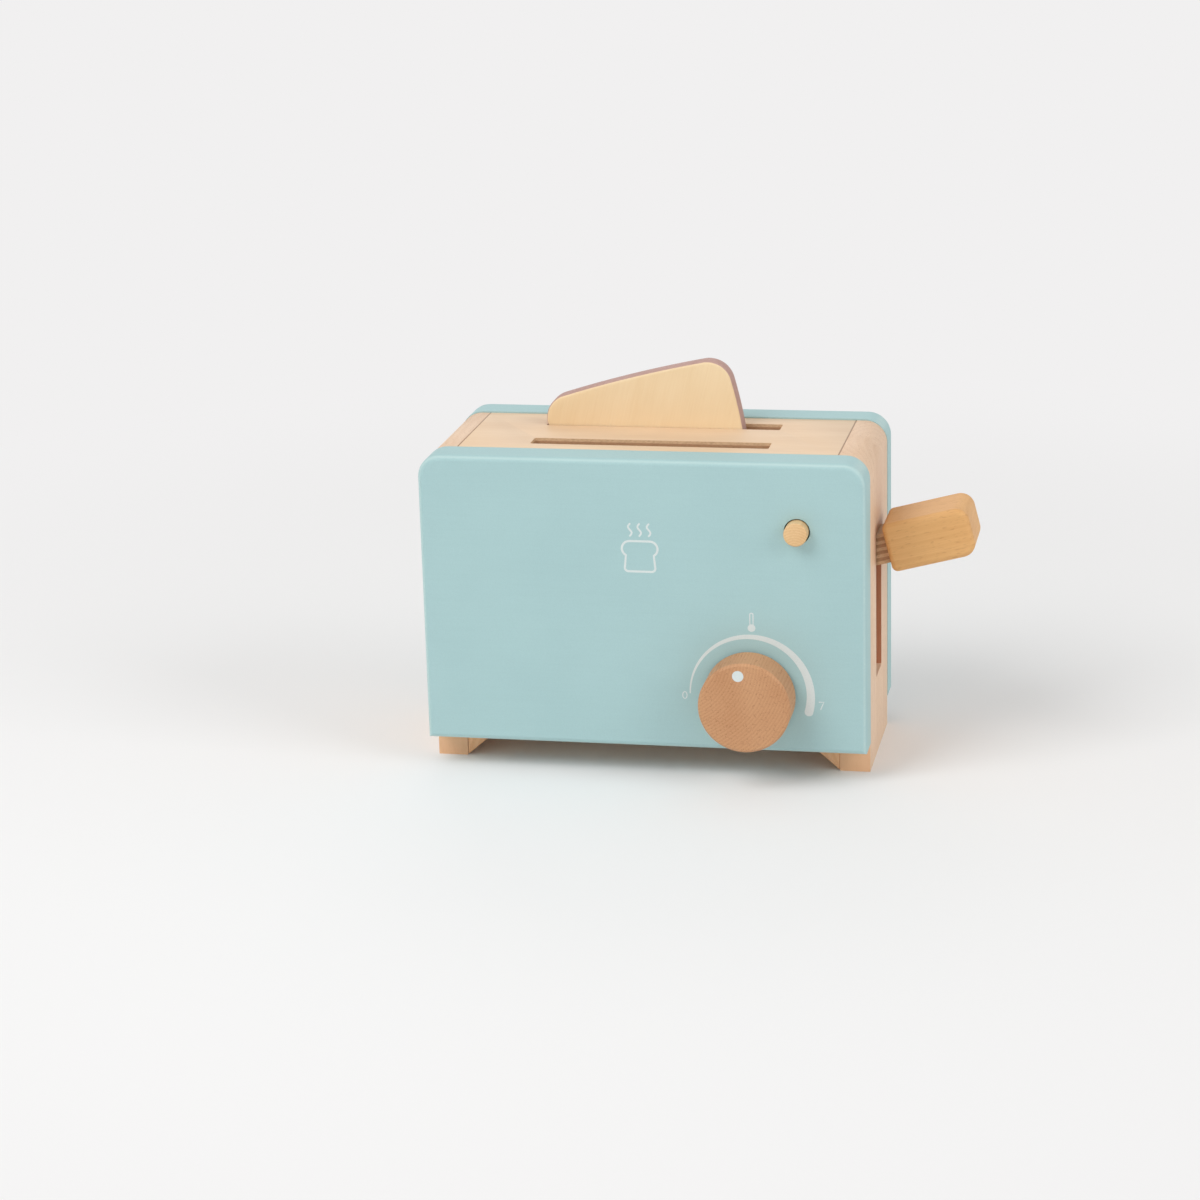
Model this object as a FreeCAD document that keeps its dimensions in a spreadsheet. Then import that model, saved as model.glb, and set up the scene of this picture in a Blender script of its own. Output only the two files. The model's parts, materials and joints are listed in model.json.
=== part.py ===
"""A wooden toy toaster: a painted box with a lift lever, a knob, a push button and one slice of toast.

Millimetres, +Z up. The origin is on the floor, under the middle of the box.
The lever and all that rides on it are drawn level, with the pivot at their own origin, and are then
tilted up to the place where the lever rests.
"""
import FreeCAD, Part
import math
import os
import re
import Sketcher

SIZES = [
    ("panel_length", 190, "front and back panels, left to right"),
    ("panel_height", 126, "front and back panels, bottom edge to top edge"),
    ("panel_thickness", 16, "front and back panels"),
    ("panel_corner", 10, "radius of the two top corners of a panel"),
    ("panel_edge", 2.4, "rounding round the outer face of a panel"),
    ("core_depth", 64, "natural wood core between the panels"),
    ("core_drop", 0.6, "top of the core below the top of the panels"),
    ("side_inset", 0.2, "side boards inside the ends of the panels"),
    ("side_thickness", 13, "side boards"),
    ("foot_gap", 13, "underside of the box above the floor"),
    ("foot_reach", 15, "foot blocks along the underside of the base"),
    ("plate_thickness", 9, "top plate"),
    ("base_thickness", 9, "base plate"),
    ("toast_slot_length", 102.6, "toast slots in the top plate"),
    ("toast_slot_width", 10, "toast slots, front to back"),
    ("toast_slot_shift", -0.4, "middle of the toast slots, along the box"),
    ("toast_slot_offset", 16.5, "middle line of each toast slot from the middle of the box"),
    ("toast_slot_corner", 1, "inside corners of the toast slots"),
    ("dowel_radius", 3, "dowels that join the boards"),
    ("dowel_depth", 8, "how far a dowel goes into each board"),
    ("panel_dowel_edge", 22, "panel dowels from the top and the underside of the box"),
    ("corner_dowel_spread", 20, "corner dowels to each side of the middle"),
    ("pivot_inset", 21, "lever pivot from the left end of the panels"),
    ("pivot_height", 48, "lever pivot above the floor"),
    ("axle_radius", 2.5, "steel axle of the lever"),
    ("axle_seat", 6, "how far the axle goes into each panel"),
    ("running_clearance", 0.08, "all round a shaft that turns or slides in its hole"),
    ("side_clearance", 0.15, "beside a piece that turns against a spacer"),
    ("spacer_radius", 5, "outside of the spacers on the axle"),
    ("spacer_bore_clearance", 0.1, "spacers round the axle"),
    ("rest_tilt", 14.5, "degrees that the lever is tilted up at rest"),
    ("press_angle", 11, "degrees that the lever travels down"),
    ("board_thickness", 13, "plywood lift board"),
    ("board_side_gap", 4, "between the lift board and a panel"),
    ("board_end_gap", 3.8, "between the wide part of the board, held level, and the right side"),
    ("board_end_radius", 6.2, "rounding of the board about the pivot"),
    ("groove_depth", 1.5, "grooves in the lift board that a slice stands in"),
    ("groove_width", 10.4, "grooves in the lift board"),
    ("groove_start", 30, "grooves, from the pivot"),
    ("groove_length", 118, "grooves, along the board"),
    ("arm_width", 17, "narrow arm of the lift board"),
    ("arm_in_handle", 22, "how far the arm goes into the handle"),
    ("arm_corner", 6, "inside corners between the board and its arm"),
    ("lever_slot_width", 19, "slot in the right side board"),
    ("lever_slot_bottom", 35, "lower end of the lever slot above the floor"),
    ("lever_slot_corner", 1.2, "corners of the lever slot"),
    ("stop_clearance", 0.4, "between the lever and what stops it"),
    ("handle_start", 179.8, "near end of the handle from the pivot"),
    ("handle_length", 37, "handle, along the lever"),
    ("handle_width", 29.5, "handle, front to back"),
    ("handle_height", 21.4, "handle, across the lever"),
    ("handle_offset", 0.8, "middle of the handle above the middle of the arm"),
    ("handle_end_radius", 6, "outer corners of the handle, seen from the front"),
    ("handle_near_radius", 2.6, "inner corners of the handle, seen from the front"),
    ("handle_edge_radius", 2.2, "other edges of the handle"),
    ("mortise_clearance", 0.1, "arm in the mortise of the handle"),
    ("handle_dowel_radius", 2, "dowel that pins the handle to the arm"),
    ("handle_dowel_length", 17, "same dowel, from the underside of the handle"),
    ("handle_dowel_place", 11, "same dowel, from the near end of the handle"),
    ("slice_width", 84.4, "toast slice"),
    ("slice_height", 88.5, "toast slice"),
    ("slice_thickness", 9, "toast slice"),
    ("slice_place", 86.7, "middle of the slice from the pivot"),
    ("slice_waist", 1.3, "sides of the slice inside its upper lobes"),
    ("slice_waist_height", 50, "narrowest place of the slice above its bottom"),
    ("slice_lobe_height", 71, "widest place of the slice above its bottom"),
    ("slice_crown", 1.6, "rise of the top of the slice between its corners"),
    ("slice_top_corner", 11, "top corners of the slice"),
    ("slice_foot_corner", 6, "bottom corners of the slice"),
    ("slice_lean", 0.5, "lobes of the slice drawn in again at their top"),
    ("slice_clearance", 0.3, "under the slice in its groove"),
    ("eye_ring_radius", 3, "middle of the wire of a screw eye"),
    ("eye_wire_radius", 0.8, "wire of a screw eye"),
    ("eye_shank_radius", 1.1, "shank of a screw eye"),
    ("eye_shank_depth", 6, "shank of a screw eye in the wood"),
    ("eye_neck", 1.6, "shank of a screw eye between the wood and the ring"),
    ("eye_place", 78, "lower screw eye from the pivot"),
    ("spring_radius", 3, "middle of the wire of the return spring"),
    ("spring_wire_radius", 0.4, "wire of both springs"),
    ("spring_turns", 14, "turns of the return spring"),
    ("spring_bend", 1, "bend between a hook and the turns"),
    ("hook_clearance", 0.1, "hook of the spring in its screw eye"),
    ("hook_stem", 1.5, "straight part of a hook beside the turns"),
    ("stop_block_length", 18, "stop block, along the box"),
    ("stop_block_depth", 20, "stop block, front to back"),
    ("stop_block_place", 143, "middle of the stop block from the pivot"),
    ("magnet_radius", 5, "both magnets"),
    ("magnet_height", 3, "both magnets"),
    ("block_screw_radius", 1.5, "shanks of the screws under the stop block"),
    ("block_screw_head", 3, "heads of the screws under the stop block"),
    ("block_screw_sink", 2.4, "depth of the countersunk heads"),
    ("block_screw_length", 22, "screws under the stop block"),
    ("block_screw_spread", 6, "screws to each side of the middle"),
    ("knob_radius", 19.5, "knob"),
    ("knob_thickness", 17, "knob"),
    ("knob_chamfer", 1, "front edge of the knob"),
    ("knob_back_edge", 0.6, "back edge of the knob"),
    ("knob_place", 46, "knob to the right of the middle"),
    ("knob_height", 38, "knob above the floor"),
    ("knob_gap", 0.2, "between the knob and its washer"),
    ("washer_thickness", 1, "felt washer behind the knob"),
    ("washer_radius", 9, "felt washer behind the knob"),
    ("washer_clearance", 0.3, "felt washer round the spindle"),
    ("spindle_radius", 4, "spindle of the knob"),
    ("spindle_in_knob", 12, "how far the spindle goes into the knob"),
    ("collar_radius", 7, "collars on the spindle and on the button"),
    ("spindle_collar_length", 6, "collar on the spindle"),
    ("spindle_end", 1, "spindle beyond its collar"),
    ("collar_gap", 0.3, "between a collar and the panel"),
    ("collar_pin_radius", 1, "pin through the collar and the spindle"),
    ("button_radius", 5, "button, a wooden dowel"),
    ("button_hole_clearance", 0.5, "panel round the button"),
    ("button_place", 66.4, "button to the right of the middle"),
    ("button_drop", 19.4, "button below the underside of the top plate"),
    ("button_proud", 5.5, "button in front of the panel"),
    ("button_edge", 0.7, "front edge of the button"),
    ("button_travel", 5, "how far the button goes in"),
    ("button_collar_length", 4, "collar on the button"),
    ("button_spring_pressed", 7.5, "button spring when the button is pushed in"),
    ("button_spring_turns", 5, "turns of the button spring"),
    ("button_spring_inset", 1, "turns of the button spring inside the collar's rim"),
    ("guide_clearance", 0.3, "guide block round the collar"),
    ("guide_wall", 4, "back wall of the guide block"),
    ("guide_width", 20, "guide block, along the box"),
    ("guide_height", 20, "guide block, bottom to top"),
]

DERIVED = {
    "half_length": "panel_length / 2",
    "half_core": "core_depth / 2",
    "half_depth": "half_core + panel_thickness",
    "box_top": "foot_gap + panel_height",
    "core_top": "box_top - core_drop",
    "side_outer": "half_length - side_inset",
    "side_inner": "side_outer - side_thickness",
    "side_corner": "panel_corner - core_drop",
    "plate_bottom": "core_top - plate_thickness",
    "base_top": "foot_gap + base_thickness",
    "pivot_x": "pivot_inset - half_length",
    "half_board": "board_thickness / 2",
    "board_width": "core_depth - 2 * board_side_gap",
    "board_half_width": "board_width / 2",
    "board_length": "side_inner - pivot_x - board_end_gap",
    "arm_end": "handle_start + arm_in_handle",
    "pressed_tilt": "rest_tilt - press_angle",
    "arm_rise": "(side_outer - pivot_x) * tan(rest_tilt) + half_board / cos(rest_tilt)",
    "lever_slot_top": "pivot_height + arm_rise + stop_clearance",
    "slice_foot": "half_board - groove_depth + slice_clearance",
    "eye_reach": "eye_neck + eye_ring_radius",
    "eye_lift": "half_board + eye_reach",
    "lower_eye_x": "pivot_x + eye_place * cos(rest_tilt) - eye_lift * sin(rest_tilt)",
    "lower_eye_z": "pivot_height + eye_place * sin(rest_tilt) + eye_lift * cos(rest_tilt)",
    "spring_x": "lower_eye_x - spring_bend",
    "upper_eye_x": "spring_x - spring_bend",
    "upper_eye_z": "plate_bottom - eye_reach",
    "hook_hang": "eye_ring_radius - eye_wire_radius - hook_clearance - spring_wire_radius",
    "block_middle": "pivot_x + stop_block_place * cos(pressed_tilt)",
    "block_left": "block_middle - stop_block_length / 2",
    "block_right": "block_middle + stop_block_length / 2",
    "press_drop": "(half_board + stop_clearance) / cos(pressed_tilt)",
    "block_left_top": "pivot_height + (block_left - pivot_x) * tan(pressed_tilt) - press_drop",
    "block_right_top": "pivot_height + (block_right - pivot_x) * tan(pressed_tilt) - press_drop",
    "knob_back": "half_depth + washer_thickness + knob_gap",
    "knob_front": "knob_back + knob_thickness",
    "spindle_front": "knob_back + spindle_in_knob",
    "spindle_collar_front": "half_core - collar_gap",
    "spindle_collar_back": "spindle_collar_front - spindle_collar_length",
    "spindle_back": "spindle_collar_back - spindle_end",
    "button_height": "plate_bottom - button_drop",
    "button_front": "half_depth + button_proud",
    "button_collar_front": "half_core - collar_gap",
    "button_back": "button_collar_front - button_collar_length",
    "button_spring_length": "button_spring_pressed + button_travel",
    "button_spring_back": "button_back - button_spring_length",
    "guide_back": "button_spring_back - guide_wall",
    "guide_bore": "collar_radius + guide_clearance",
}

doc = FreeCAD.newDocument("ToyToaster")
sheet = doc.addObject("Spreadsheet::Sheet", "Sizes")
for row, (alias, number, meaning) in enumerate(SIZES, start=1):
    sheet.set(f"A{row}", meaning)
    sheet.set(f"B{row}", str(number))
    sheet.setAlias(f"B{row}", alias)
doc.recompute()

ALIASES = {alias for alias, number, meaning in SIZES}
SMALL = 1e-4
ALONG_X = FreeCAD.Vector(1, 0, 0)
ALONG_Y = FreeCAD.Vector(0, 1, 0)
ALONG_Z = FreeCAD.Vector(0, 0, 1)


def spell(formula):
    """Write a formula of size names out in full, as an expression of the document holds it."""
    def one_name(match):
        name = match.group(0)
        if name in DERIVED:
            return "(" + spell(DERIVED[name]) + ")"
        return "Sizes." + name if name in ALIASES else name
    return re.sub(r"[a-z][a-z_]*", one_name, str(formula))


def value(formula):
    """The number that a formula of size names gives."""
    result = sheet.evalExpression(spell(formula))
    return float(getattr(result, "Value", result))


def bind(thing, **formulas):
    """Tie properties of an object to formulas, such as Length="board_length"."""
    for name, formula in formulas.items():
        thing.setExpression(name, spell(formula))


def place(thing, across="0", back="0", up="0"):
    """Put an object where three formulas say: along X, Y and Z."""
    for letter, formula in zip("xyz", (across, back, up)):
        thing.setExpression(f"Placement.Base.{letter}", spell(formula))


def tilt_with_lever(thing):
    """Lay a piece that is drawn level, with the pivot at its origin, on the lever at rest."""
    place(thing, "pivot_x", "0", "pivot_height")
    thing.Placement.Rotation = FreeCAD.Rotation(FreeCAD.Vector(0, -1, 0), value("rest_tilt"))
    thing.setExpression("Placement.Rotation.Angle", spell("rest_tilt") + " * 1 deg")


def new_body(name):
    body = doc.addObject("PartDesign::Body", name)
    body.Label = name
    return body


def sketch_on(body, plane, name, offset="0"):
    """A sketch on one of the body's own planes, moved along that plane's normal."""
    sketch = body.newObject("Sketcher::SketchObject", name)
    origin_plane = next(p for p in body.Origin.OriginFeatures if p.Role == plane)
    sketch.AttachmentSupport = (origin_plane, [""])
    sketch.MapMode = "FlatFace"
    sketch.setExpression("AttachmentOffset.Base.z", spell(offset))
    return sketch


def pin_point(sketch, geometry, end, across, up):
    """Hold one point of a sketch at two formulas."""
    for kind, formula, axis in (("DistanceX", across, -2), ("DistanceY", up, -1)):
        number = value(formula)
        if formula == "0":
            sketch.addConstraint(Sketcher.Constraint("PointOnObject", geometry, end, axis))
            continue
        at = sketch.addConstraint(Sketcher.Constraint(kind, -1, 1, geometry, end, number))
        sketch.setExpression(f"Constraints[{at}]", spell(formula))


def polygon(sketch, corners, bulges=None):
    """A closed outline whose corners are pairs of formulas.

    A side is straight, unless bulges has its number: then it is an arc through the point given there.
    """
    bulges = bulges or {}
    points = [FreeCAD.Vector(value(a), value(b), 0) for a, b in corners]
    first = sketch.GeometryCount
    ends = []
    for index, (start, end) in enumerate(zip(points, points[1:] + points[:1])):
        if index in bulges:
            crest = FreeCAD.Vector(*(value(formula) for formula in bulges[index]), 0)
            side = Part.Arc(start, crest, end)
        else:
            side = Part.LineSegment(start, end)
        at = sketch.addGeometry(side)
        forward = sketch.getPoint(at, 1).distanceToPoint(start) < SMALL
        ends.append((1, 2) if forward else (2, 1))
    for index in range(len(points)):
        following = (index + 1) % len(points)
        sketch.addConstraint(Sketcher.Constraint(
            "Coincident", first + index, ends[index][1], first + following, ends[following][0],
        ))
    for index, (across, up) in enumerate(corners):
        pin_point(sketch, first + index, ends[index][0], across, up)
    for index, (across, up) in bulges.items():
        crest = sketch.addGeometry(Part.Point(FreeCAD.Vector(value(across), value(up), 0)), True)
        sketch.addConstraint(Sketcher.Constraint("PointOnObject", crest, 1, first + index))
        pin_point(sketch, crest, 1, across, up)


def rectangle(sketch, left, right, bottom, top):
    polygon(sketch, [(left, bottom), (right, bottom), (right, top), (left, top)])


def circle(sketch, across, up, radius):
    middle = FreeCAD.Vector(value(across), value(up), 0)
    index = sketch.addGeometry(Part.Circle(middle, FreeCAD.Vector(0, 0, 1), value(radius)))
    pin_point(sketch, index, 3, across, up)
    at = sketch.addConstraint(Sketcher.Constraint("Radius", index, value(radius)))
    sketch.setExpression(f"Constraints[{at}]", spell(radius))


def pad(body, sketch, name, length, both_sides=False, reverse=False):
    feature = body.newObject("PartDesign::Pad", name)
    feature.Profile = sketch
    feature.Midplane = both_sides
    feature.Reversed = reverse
    bind(feature, Length=length)
    doc.recompute()
    return feature


def pocket(body, sketch, name, length, both_sides=False, reverse=False):
    """Cut a sketch into a body, and stop if nothing was cut away."""
    before = body.Shape.Volume
    feature = body.newObject("PartDesign::Pocket", name)
    feature.Profile = sketch
    feature.Midplane = both_sides
    feature.Reversed = reverse
    bind(feature, Length=length)
    doc.recompute()
    if body.Shape.Volume >= before:
        raise RuntimeError(f"{name} cuts nothing")
    return feature


def dress(body, kind, name, size, chosen):
    """Fillet or chamfer the edges of the body that the test picks out."""
    base = body.Tip
    names = [f"Edge{i}" for i, edge in enumerate(base.Shape.Edges, start=1) if chosen(edge)]
    if not names:
        raise RuntimeError(f"{name} finds no edge")
    feature = body.newObject("PartDesign::" + kind, name)
    feature.Base = (base, names)
    bind(feature, **{"Radius" if kind == "Fillet" else "Size": size})
    doc.recompute()
    return feature


def runs_along(edge, direction):
    """Whether an edge is straight and lies along a direction."""
    if edge.Curve.TypeId != "Part::GeomLine":
        return False
    return edge.Curve.Direction.cross(direction).Length < SMALL


def near(a, b):
    return abs(a - b) < SMALL




def cylinder(name, radius, length, axis, across="0", back="0", up="0"):
    """A round bar that starts at a point and runs along an axis."""
    bar = doc.addObject("Part::Cylinder", name)
    bar.Label = name
    bind(bar, Radius=radius, Height=length)
    bar.Placement.Rotation = FreeCAD.Rotation(ALONG_Z, axis)
    place(bar, across, back, up)
    return bar


def box(name, length, depth, height, left, front, bottom):
    block = doc.addObject("Part::Box", name)
    block.Label = name
    bind(block, Length=length, Width=depth, Height=height)
    place(block, left, front, bottom)
    return block


def cut(name, base, tools):
    """The base with the tools' shapes taken out of it, so that a hole always fits what is in it."""
    tool = tools[0]
    if len(tools) > 1:
        tool = doc.addObject("Part::Compound", name + "_tools")
        tool.Links = tools
    result = doc.addObject("Part::Cut", name)
    result.Base = base
    result.Tool = tool
    result.Label = name
    return result


def group(name, solids):
    result = doc.addObject("Part::Compound", name)
    result.Links = solids
    result.Label = name
    return result


def tube(name, outer, bore, length, axis, across="0", back="0", up="0"):
    shell = cylinder(name + "_outside", outer, length, axis, across, back, up)
    hole = cylinder(name + "_bore", bore, length, axis, across, back, up)
    return cut(name, shell, [hole])


def biarc(start, leaving, end, arriving):
    """Two arcs that join two points and keep the direction at each of them."""
    span = end - start
    both = leaving + arriving
    spread = 2 * (1 - leaving.dot(arriving))
    reach = (-span.dot(both) + math.sqrt(span.dot(both) ** 2 + spread * span.dot(span))) / spread
    middle = (start + end + (leaving - arriving) * reach) * 0.5
    arcs = []
    for a, corner, b in ((start, start + leaving * reach, middle), (middle, end - arriving * reach, end)):
        weight = (b - a).Length / 2 / reach
        crest = (a + corner * (2 * weight) + b) * (0.5 / (1 + weight))
        arcs.append(Part.Arc(a, crest, b).toShape())
    return arcs


def helix_edges(radius, turns, climb, at):
    """Half turns of a helix about Z, from the point at angle 90 degrees, as pairs of arcs."""
    half_turns = 2 * turns
    pitch = climb / turns

    def on_helix(index):
        angle = math.pi / 2 + math.pi * index
        point = FreeCAD.Vector(radius * math.cos(angle), radius * math.sin(angle), pitch * index / 2)
        slope = pitch / (2 * math.pi)
        heading = FreeCAD.Vector(-radius * math.sin(angle), radius * math.cos(angle), slope)
        return at + point, heading.normalize()

    edges = []
    for index in range(half_turns):
        start, leaving = on_helix(index)
        end, arriving = on_helix(index + 1)
        edges += biarc(start, leaving, end, arriving)
    return edges


def least_gap(edges, samples, turn_length, wire_radius):
    """The least gap between one turn of a coil and the rest of it, measured on points."""
    wire = Part.Wire(edges)
    points = wire.discretize(Number=samples)
    step = wire.Length / (samples - 1)
    apart = int(turn_length / 2 / step)
    best = min(
        points[i].distanceToPoint(points[j])
        for i in range(samples)
        for j in range(i + apart, min(i + 3 * apart, samples))
    )
    return best - 2 * wire_radius


def round_wire_along(edges, wire_radius):
    """A solid round wire that follows a path of joined edges."""
    path = Part.Wire(edges)
    first = edges[0]
    start = first.valueAt(first.FirstParameter)
    heading = first.tangentAt(first.FirstParameter)
    profile = Part.Wire([Part.makeCircle(wire_radius, start, heading)])
    return path.makePipeShell([profile], True, False)


# The two painted panels
def panel(name, front_side):
    """A thick board with round top corners and a softly rounded outer face."""
    body = new_body(name + "_body")
    inner_face = "half_core" if front_side else "-half_core"
    sketch = sketch_on(body, "XZ_Plane", name + "_outline", inner_face)
    rectangle(sketch, "-half_length", "half_length", "foot_gap", "box_top")
    pad(body, sketch, name + "_pad", "panel_thickness", reverse=not front_side)
    dress(
        body, "Fillet", name + "_corners", "panel_corner",
        lambda edge: runs_along(edge, ALONG_Y) and edge.CenterOfMass.z > value("box_top") - SMALL,
    )
    outer = -value("half_depth") if front_side else value("half_depth")
    dress(
        body, "Fillet", name + "_edges", "panel_edge",
        lambda edge: near(edge.BoundBox.YMin, outer) and near(edge.BoundBox.YMax, outer),
    )
    return body


# The wooden core: side boards, top plate, base plate and foot blocks
def side_board(name, side):
    """An upright board that reaches the floor, with its outer top corner rounded like the panels."""
    body = new_body(name + "_body")
    sketch = sketch_on(body, "XZ_Plane", name + "_outline")
    inner, outer = ("side_inner", "side_outer") if side > 0 else ("-side_inner", "-side_outer")
    polygon(sketch, [(inner, "0"), (outer, "0"), (outer, "core_top"), (inner, "core_top")])
    pad(body, sketch, name + "_pad", "core_depth", both_sides=True)
    dress(
        body, "Fillet", name + "_corner", "side_corner",
        lambda edge: runs_along(edge, ALONG_Y)
        and near(edge.CenterOfMass.z, value("core_top"))
        and near(abs(edge.CenterOfMass.x), value("side_outer")),
    )
    return body


def lever_slot(body):
    """The upright slot that the lever's arm moves in."""
    sketch = sketch_on(body, "YZ_Plane", "lever_slot_outline", "side_inner")
    half_width = "lever_slot_width / 2"
    rectangle(sketch, "-" + half_width, half_width, "lever_slot_bottom", "lever_slot_top")
    pocket(body, sketch, "lever_slot_pocket", "side_thickness", reverse=True)
    half_slot = value("lever_slot_width") / 2
    dress(
        body, "Fillet", "lever_slot_corners", "lever_slot_corner",
        lambda edge: runs_along(edge, ALONG_X) and near(abs(edge.CenterOfMass.y), half_slot),
    )


def toast_slots(body):
    """Two long slots through the top plate."""
    sketch = sketch_on(body, "XY_Plane", "toast_slot_outline", "core_top")
    for offset in ("-toast_slot_offset", "toast_slot_offset"):
        rectangle(
            sketch,
            "toast_slot_shift - toast_slot_length / 2",
            "toast_slot_shift + toast_slot_length / 2",
            offset + " - toast_slot_width / 2",
            offset + " + toast_slot_width / 2",
        )
    pocket(body, sketch, "toast_slot_pocket", "plate_thickness")
    half_plate = value("side_inner") - SMALL
    dress(
        body, "Fillet", "toast_slot_corners", "toast_slot_corner",
        lambda edge: runs_along(edge, ALONG_Z) and abs(edge.CenterOfMass.x) < half_plate,
    )


def core_plate(name, bottom, thickness):
    """A flat board that fills the core between the side boards."""
    body = new_body(name + "_body")
    sketch = sketch_on(body, "XY_Plane", name + "_outline", bottom)
    rectangle(sketch, "-side_inner", "side_inner", "-half_core", "half_core")
    pad(body, sketch, name + "_pad", thickness)
    return body


def foot_block(name, side):
    """A three-sided block glued into the corner under the base, beside a side board."""
    body = new_body(name)
    sketch = sketch_on(body, "XZ_Plane", name + "_outline")
    sign = "" if side > 0 else "-"
    reach = f"{sign}(side_inner - foot_reach)"
    polygon(sketch, [(sign + "side_inner", "0"), (sign + "side_inner", "foot_gap"), (reach, "foot_gap")])
    pad(body, sketch, name + "_pad", "core_depth", both_sides=True)
    return body


def panel_dowels():
    """Eight dowels that hold the panels to the side boards."""
    dowels = []
    for side in ("-", ""):
        across = f"{side}(side_outer - side_thickness / 2)"
        for up in ("foot_gap + panel_dowel_edge", "box_top - panel_dowel_edge"):
            for start in ("-half_core - dowel_depth", "half_core - dowel_depth"):
                name = f"panel_dowel_{len(dowels) + 1}"
                spot = (across, start, up)
                dowels.append(cylinder(name, "dowel_radius", "2 * dowel_depth", ALONG_Y, *spot))
    return group("panel_dowels", dowels)


def corner_dowels():
    """Eight dowels that hold the top and base plates between the side boards."""
    dowels = []
    for up in ("core_top - plate_thickness / 2", "foot_gap + base_thickness / 2"):
        for start in ("-side_inner - dowel_depth", "side_inner - dowel_depth"):
            for back in ("-corner_dowel_spread", "corner_dowel_spread"):
                name = f"corner_dowel_{len(dowels) + 1}"
                spot = (start, back, up)
                dowels.append(cylinder(name, "dowel_radius", "2 * dowel_depth", ALONG_X, *spot))
    return group("corner_dowels", dowels)


# The lever: lift board, handle and what is fixed to them
def lift_board_body():
    """A plywood board with a round end about the pivot and a narrow arm at the other end."""
    body = new_body("lift_board_body")
    sketch = sketch_on(body, "XY_Plane", "lift_board_outline", "-half_board")
    polygon(sketch, [
        ("-half_board", "-board_half_width"),
        ("board_length", "-board_half_width"),
        ("board_length", "-arm_width / 2"),
        ("arm_end", "-arm_width / 2"),
        ("arm_end", "arm_width / 2"),
        ("board_length", "arm_width / 2"),
        ("board_length", "board_half_width"),
        ("-half_board", "board_half_width"),
    ])
    pad(body, sketch, "lift_board_pad", "board_thickness")
    half_arm = value("arm_width") / 2
    dress(
        body, "Fillet", "lift_board_arm_corners", "arm_corner",
        lambda edge: runs_along(edge, ALONG_Z)
        and near(edge.CenterOfMass.x, value("board_length"))
        and near(abs(edge.CenterOfMass.y), half_arm),
    )
    dress(
        body, "Fillet", "lift_board_round_end", "board_end_radius",
        lambda edge: runs_along(edge, ALONG_Y) and near(edge.CenterOfMass.x, -value("half_board")),
    )
    grooves = sketch_on(body, "XY_Plane", "lift_board_groove_outline", "half_board")
    for offset in ("-toast_slot_offset", "toast_slot_offset"):
        rectangle(
            grooves, "groove_start", "groove_start + groove_length",
            offset + " - groove_width / 2", offset + " + groove_width / 2",
        )
    pocket(body, grooves, "lift_board_grooves", "groove_depth")
    return body


def handle_body():
    """A beech block with a mortise for the arm; its outer end is rounded more than its inner end."""
    body = new_body("lever_handle_body")
    sketch = sketch_on(body, "XZ_Plane", "handle_outline")
    rectangle(
        sketch, "handle_start", "handle_start + handle_length",
        "handle_offset - handle_height / 2", "handle_offset + handle_height / 2",
    )
    pad(body, sketch, "handle_pad", "handle_width", both_sides=True)
    far_end = value("handle_start + handle_length")
    dress(
        body, "Fillet", "handle_far_corners", "handle_end_radius",
        lambda edge: runs_along(edge, ALONG_Y) and near(edge.CenterOfMass.x, far_end),
    )
    near_end = value("handle_start")
    dress(
        body, "Fillet", "handle_near_corners", "handle_near_radius",
        lambda edge: runs_along(edge, ALONG_Y) and near(edge.CenterOfMass.x, near_end),
    )
    half_width = value("handle_width / 2")
    dress(
        body, "Fillet", "handle_edges", "handle_edge_radius",
        lambda edge: near(edge.BoundBox.YMin, edge.BoundBox.YMax)
        and near(abs(edge.CenterOfMass.y), half_width),
    )
    mortise = sketch_on(body, "YZ_Plane", "handle_mortise_outline", "handle_start")
    half_opening = "arm_width / 2 + mortise_clearance"
    half_gap = "half_board + mortise_clearance"
    rectangle(mortise, f"-({half_opening})", half_opening, f"-({half_gap})", half_gap)
    pocket(body, mortise, "handle_mortise", "arm_in_handle + mortise_clearance", reverse=True)
    return body


def screw_eye(name, root, ring_height, shank_bottom, shank_length):
    """A wire ring on a plain shank. The ring stands in the plane of X and Z."""
    ring = doc.addObject("Part::Torus", name + "_ring")
    bind(ring, Radius1="eye_ring_radius", Radius2="eye_wire_radius")
    ring.Placement.Rotation = FreeCAD.Rotation(ALONG_Z, ALONG_Y)
    place(ring, root, "0", ring_height)
    shank = cylinder(name + "_shank", "eye_shank_radius", shank_length, ALONG_Z, root, "0", shank_bottom)
    eye = doc.addObject("Part::Fuse", name)
    eye.Base = ring
    eye.Tool = shank
    eye.Label = name
    return eye


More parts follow.
